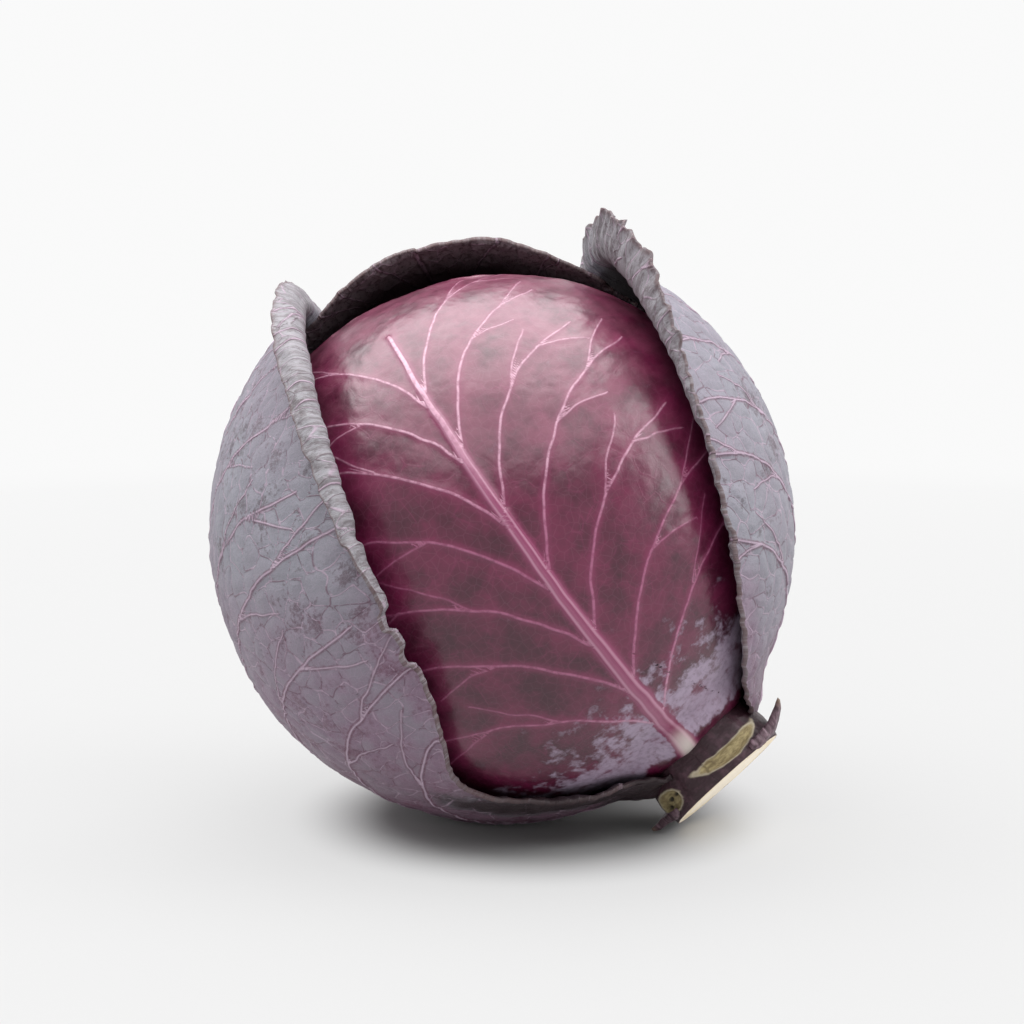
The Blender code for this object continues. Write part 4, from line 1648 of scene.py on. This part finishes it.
@dataclass
class Studio:
    """A pale floor that curves away, one wide soft light overhead, and the camera."""

    floor_reach: float = 3.6
    floor_colour: Colour = (0.37, 0.37, 0.37)
    glow: float = 0.93
    shadow_middle: tuple[float, float, float] = (0.010, 0.0, 0.0)
    boxes: tuple[SoftBox, ...] = (
        SoftBox((1.8, 1.35), (-0.28, 0.42, 1.15), 33.0),
        SoftBox((2.0, 1.10), (-0.10, -0.82, 1.12), 17.0),
        SoftBox((1.3, 0.9), (-1.45, 0.0, 0.85), 5.5, -58.0),
        SoftBox((1.3, 0.9), (1.45, 0.0, 0.85), 17.0, 58.0),
    )
    ambient: float = 0.06
    lens: float = 85.0
    distance: float = 0.656
    elevation: float = 9.0

    def floor(self) -> None:
        """Lay the floor, which glows softly away from the head like a lit backdrop."""
        rings, sides = 60, 96
        reach = np.linspace(0, 1, rings + 1)[1:] ** 1.6 * self.floor_reach
        rise = np.maximum(reach - 0.72 * self.floor_reach, 0) ** 2 * 1.6
        turn = np.linspace(0, 2 * np.pi, sides, endpoint=False)
        points = [(0.0, 0.0, 0.0)]
        for out, up in zip(reach, rise):
            points += [(out * math.cos(angle), out * math.sin(angle), up) for angle in turn]
        faces = fan_faces(0, list(range(1, sides + 1))) + tube_faces(rings, sides, first=1)
        mesh = bpy.data.meshes.new("floor")
        mesh.from_pydata(points, [], faces)
        mesh.shade_smooth()
        mesh.materials.append(self.floor_finish())
        floor = bpy.data.objects.new("floor", mesh)
        bpy.context.collection.objects.link(floor)

    def floor_finish(self) -> bpy.types.Material:
        """Make the floor's finish: matt near the head, glowing further off."""
        nodes = Nodes("pale_floor")
        place = nodes.give("ShaderNodeNewGeometry", "Position")
        shifted = nodes.put("ShaderNodeVectorMath", {"operation": "SUBTRACT"})
        nodes.feed(shifted.inputs[0], place)
        nodes.feed(shifted.inputs[1], self.shadow_middle)
        length = nodes.put("ShaderNodeVectorMath", {"operation": "LENGTH"})
        nodes.feed(length.inputs[0], Value(nodes, shifted.outputs[0]))
        away = Value(nodes, length.outputs["Value"])
        share = (nodes.ramp(away, 0.12, 0.75, 0.0, 0.37)
                 * nodes.ramp(nodes.parts(place)[1], -0.55, -0.05, 0.30, 1.0)
                 + nodes.ramp(away, 0.038, 0.070, 0.0, 0.655))
        nodes.feed(nodes.shader.inputs["Base Color"], nodes.blend(share, self.floor_colour, (0.0, 0.0, 0.0)))
        nodes.shader.inputs["Roughness"].default_value = 0.8
        nodes.shader.inputs["Specular IOR Level"].default_value = 0.0
        nodes.feed(nodes.shader.inputs["Emission Color"], (1.0, 1.0, 1.0))
        nodes.feed(nodes.shader.inputs["Emission Strength"], share * self.glow)
        return nodes.material

    def lights(self) -> None:
        """Hang the soft lights and set the dim surroundings."""
        for box in self.boxes:
            box.hang()
        world = bpy.data.worlds.new("studio")
        world.use_nodes = True
        world.node_tree.nodes["Background"].inputs["Color"].default_value = (1.0, 1.0, 1.0, 1.0)
        world.node_tree.nodes["Background"].inputs["Strength"].default_value = self.ambient
        bpy.context.scene.world = world

    def camera(self) -> None:
        """Set the camera in front, a little above the head."""
        lens = bpy.data.cameras.new("camera")
        lens.lens = self.lens
        lens.sensor_width = 36.0
        lens.clip_end = 50.0
        lens.dof.use_dof = False
        camera = bpy.data.objects.new("camera", lens)
        bpy.context.collection.objects.link(camera)
        aim = HEAD_MIDDLE + (0.0015, 0.0, 0.0072)
        slope = math.radians(self.elevation)
        camera.location = aim + np.array((0.0, -math.cos(slope), math.sin(slope))) * self.distance
        camera.rotation_euler = (math.pi / 2 - slope, 0.0, 0.0)
        bpy.context.scene.camera = camera

    def build(self) -> None:
        """Set up the whole studio."""
        self.floor()
        self.lights()
        self.camera()
        scene = bpy.context.scene
        scene.view_settings.view_transform = "Standard"
        scene.view_settings.look = "None"


# ---------------------------------------------------------------- the cabbage head

FRONT_OUTLINE = Outline(reach=Course(84), rise=Course(0), lip=Course(1.5), turn=Course(12))
BACK_OUTLINE = Outline(
    reach=Course(68, ((0, 40, 12), (205, 22, 30))),
    rise=Course(0, ((0, 34, 7.4),)),
    lip=Course(1.5, ((0, 40, 0.5), (205, 25, -0.7))),
    turn=Course(20, ((0, 40, 10), (205, 25, -10))))
LEFT_OUTLINE = Outline(
    reach=Course(64, ((15, 80, 23), (120, 16, -8), (165, 22, 31))),
    rise=Course(0, ((0, 45, 2.6),)),
    lip=Course(1.4, ((10, 45, 5.6), (165, 25, -0.5))),
    turn=Course(40, ((40, 40, 130), (330, 35, 50), (165, 25, -30))))
RIGHT_OUTLINE = Outline(
    reach=Course(59, ((325, 55, 10), (205, 40, -11))),
    rise=Course(0, ((45, 20, 1.0), (350, 30, 0.4))),
    lip=Course(1.6, ((348, 30, 12.0), (205, 40, -0.6))),
    turn=Course(40, ((345, 65, 44), (205, 30, -30))))


@dataclass
class CabbageHead:
    """The whole cabbage head, built from the inside out."""

    def head(self) -> TightHead:
        """The tight head under the leaves."""
        edges = (PackedEdge((-0.5, 0.3, 0.9), 62.0, 201), PackedEdge((0.9, 0.3, 0.3), 58.0, 203),
                 PackedEdge((0.1, 1.0, -0.1), 60.0, 205, 0.9))
        return TightHead("tight_head", "head_leaf", (0.1, 0.62, 0.78), (-0.2, -0.78, 0.62), 0.0680,
                         FRONT_OUTLINE, HEAD_VENATION.veins(), 15, relief=Relief(0.25, 26.0, 0.12, 0.3, 0.0),
                         edges=edges)

    def front_leaf(self) -> FrontLeaf:
        """The magenta wrapper leaf in front."""
        return FrontLeaf("front_head_leaf", "head_leaf", (-0.05, -0.99, 0.08), (-0.55, 0.0, 0.84), 0.0732,
                         FRONT_OUTLINE, FRONT_VENATION.veins(), 3, thickness=0.0013, rib_thickness=0.0014,
                         blade_rings=136, lip_rings=4, inner_from=132, net=CellNet(5.2, 33),
                         pleats=Pleats(7.0, 0.25, 0.0, 0.2), relief=Relief(0.35, 26.0, 0.07, 0.26, 0.35, 0.5))

    def back_leaf(self) -> LooseLeaf:
        """The loose leaf behind, whose wavy rim stands above the head."""
        return LooseLeaf("back_leaf", "outer_leaf", (-0.05, 0.98, 0.05), (-0.30, 0.0, 0.95), 0.0744,
                         BACK_OUTLINE, BACK_VENATION.veins(), 5, thickness=0.0012, rib_thickness=0.0015,
                         blade_rings=114, lip_rings=10, inner_from=88,
                         pleats=Pleats(9.0, 0.3, 0.0, 0.7, 1.2, 1.1),
                         relief=Relief(0.45, 22.0, 0.30, 0.40, 0.6, 0.3))

    def left_leaf(self) -> UndersideLeaf:
        """The loose leaf the head lies on, which wraps up round its left side."""
        return UndersideLeaf("lower_left_leaf", "outer_leaf", (-0.78, 0.12, -0.60), (-0.67, -0.02, 0.74),
                             0.0800, LEFT_OUTLINE, LEFT_VENATION.veins(), 7, leans=True, thickness=0.0014,
                             rib_thickness=0.0026, lip_calm=0.85,
                             pleats=Pleats(5.2, 0.20, 1.1, 0.35, 1.9, 0.3),
                             relief=Relief(0.6, 24.0, 0.36, 0.42, 1.4, 2.1))

    def right_leaf(self) -> LooseLeaf:
        """The loose leaf on the right, with a gathered frill at its tip."""
        return LooseLeaf("right_leaf", "outer_leaf", (0.93, 0.33, 0.05), (0.30, 0.15, 0.94), 0.0800,
                         RIGHT_OUTLINE, RIGHT_VENATION.veins(), 9, leans=True, thickness=0.0013,
                         rib_thickness=0.0022, pleats=Pleats(5.4, 0.34, 0.5, 1.1, 1.0, 0.6),
                         relief=Relief(0.5, 22.0, 0.36, 0.42, 0.8, 0.3))

    def build(self) -> None:
        """Build every piece in order."""
        wrapper = WrapperFinish().build()
        bloom = BloomFinish("loose_leaf_outside").build()
        # Inner faces of the loose leaves take painted shade that deepens inwards from the rim.
        lining = BloomFinish("loose_leaf_inside", (0.050, 0.030, 0.034), (0.080, 0.045, 0.058),
                             (0.285, 0.282, 0.305), (0.36, 0.33, 0.36), fleck=0.45, painted_shade_depth=4.5).build()
        # The back leaf's inside is a darker copy of the lining: painted shade for the hollow behind the head.
        painted_shade_lining = BloomFinish("back_leaf_inside", (0.026, 0.011, 0.013), (0.060, 0.030, 0.036),
                                  (0.240, 0.210, 0.225), (0.26, 0.22, 0.23), fleck=0.7,
                                  painted_shade_depth=18.0).build()
        self.head().build(wrapper, wrapper)
        self.front_leaf().build(wrapper, wrapper)
        self.back_leaf().build(bloom, painted_shade_lining)
        self.left_leaf().build(bloom, lining)
        self.right_leaf().build(bloom, lining)
        stem = Stem()
        stem.build(StemFinish().build(), CutFinish().build())
        stub = StubFinish().build()
        Stub("upper_leaf_stub", 66.0, 27.0, 84.6, 80.8, 26.4, 0.45, stem, 71).build(stub)
        Stub("lower_leaf_stub", -78.0, 30.0, 83.8, 84.2, 24.2, -0.30, stem, 73).build(stub)


def main() -> None:
    """Dress the frame and set up the studio."""
    logging.basicConfig(level=logging.INFO, format="%(message)s")
    CabbageHead().build()
    Studio().build()
    LOG.info("studio ready")


if __name__ == "__main__":
    main()
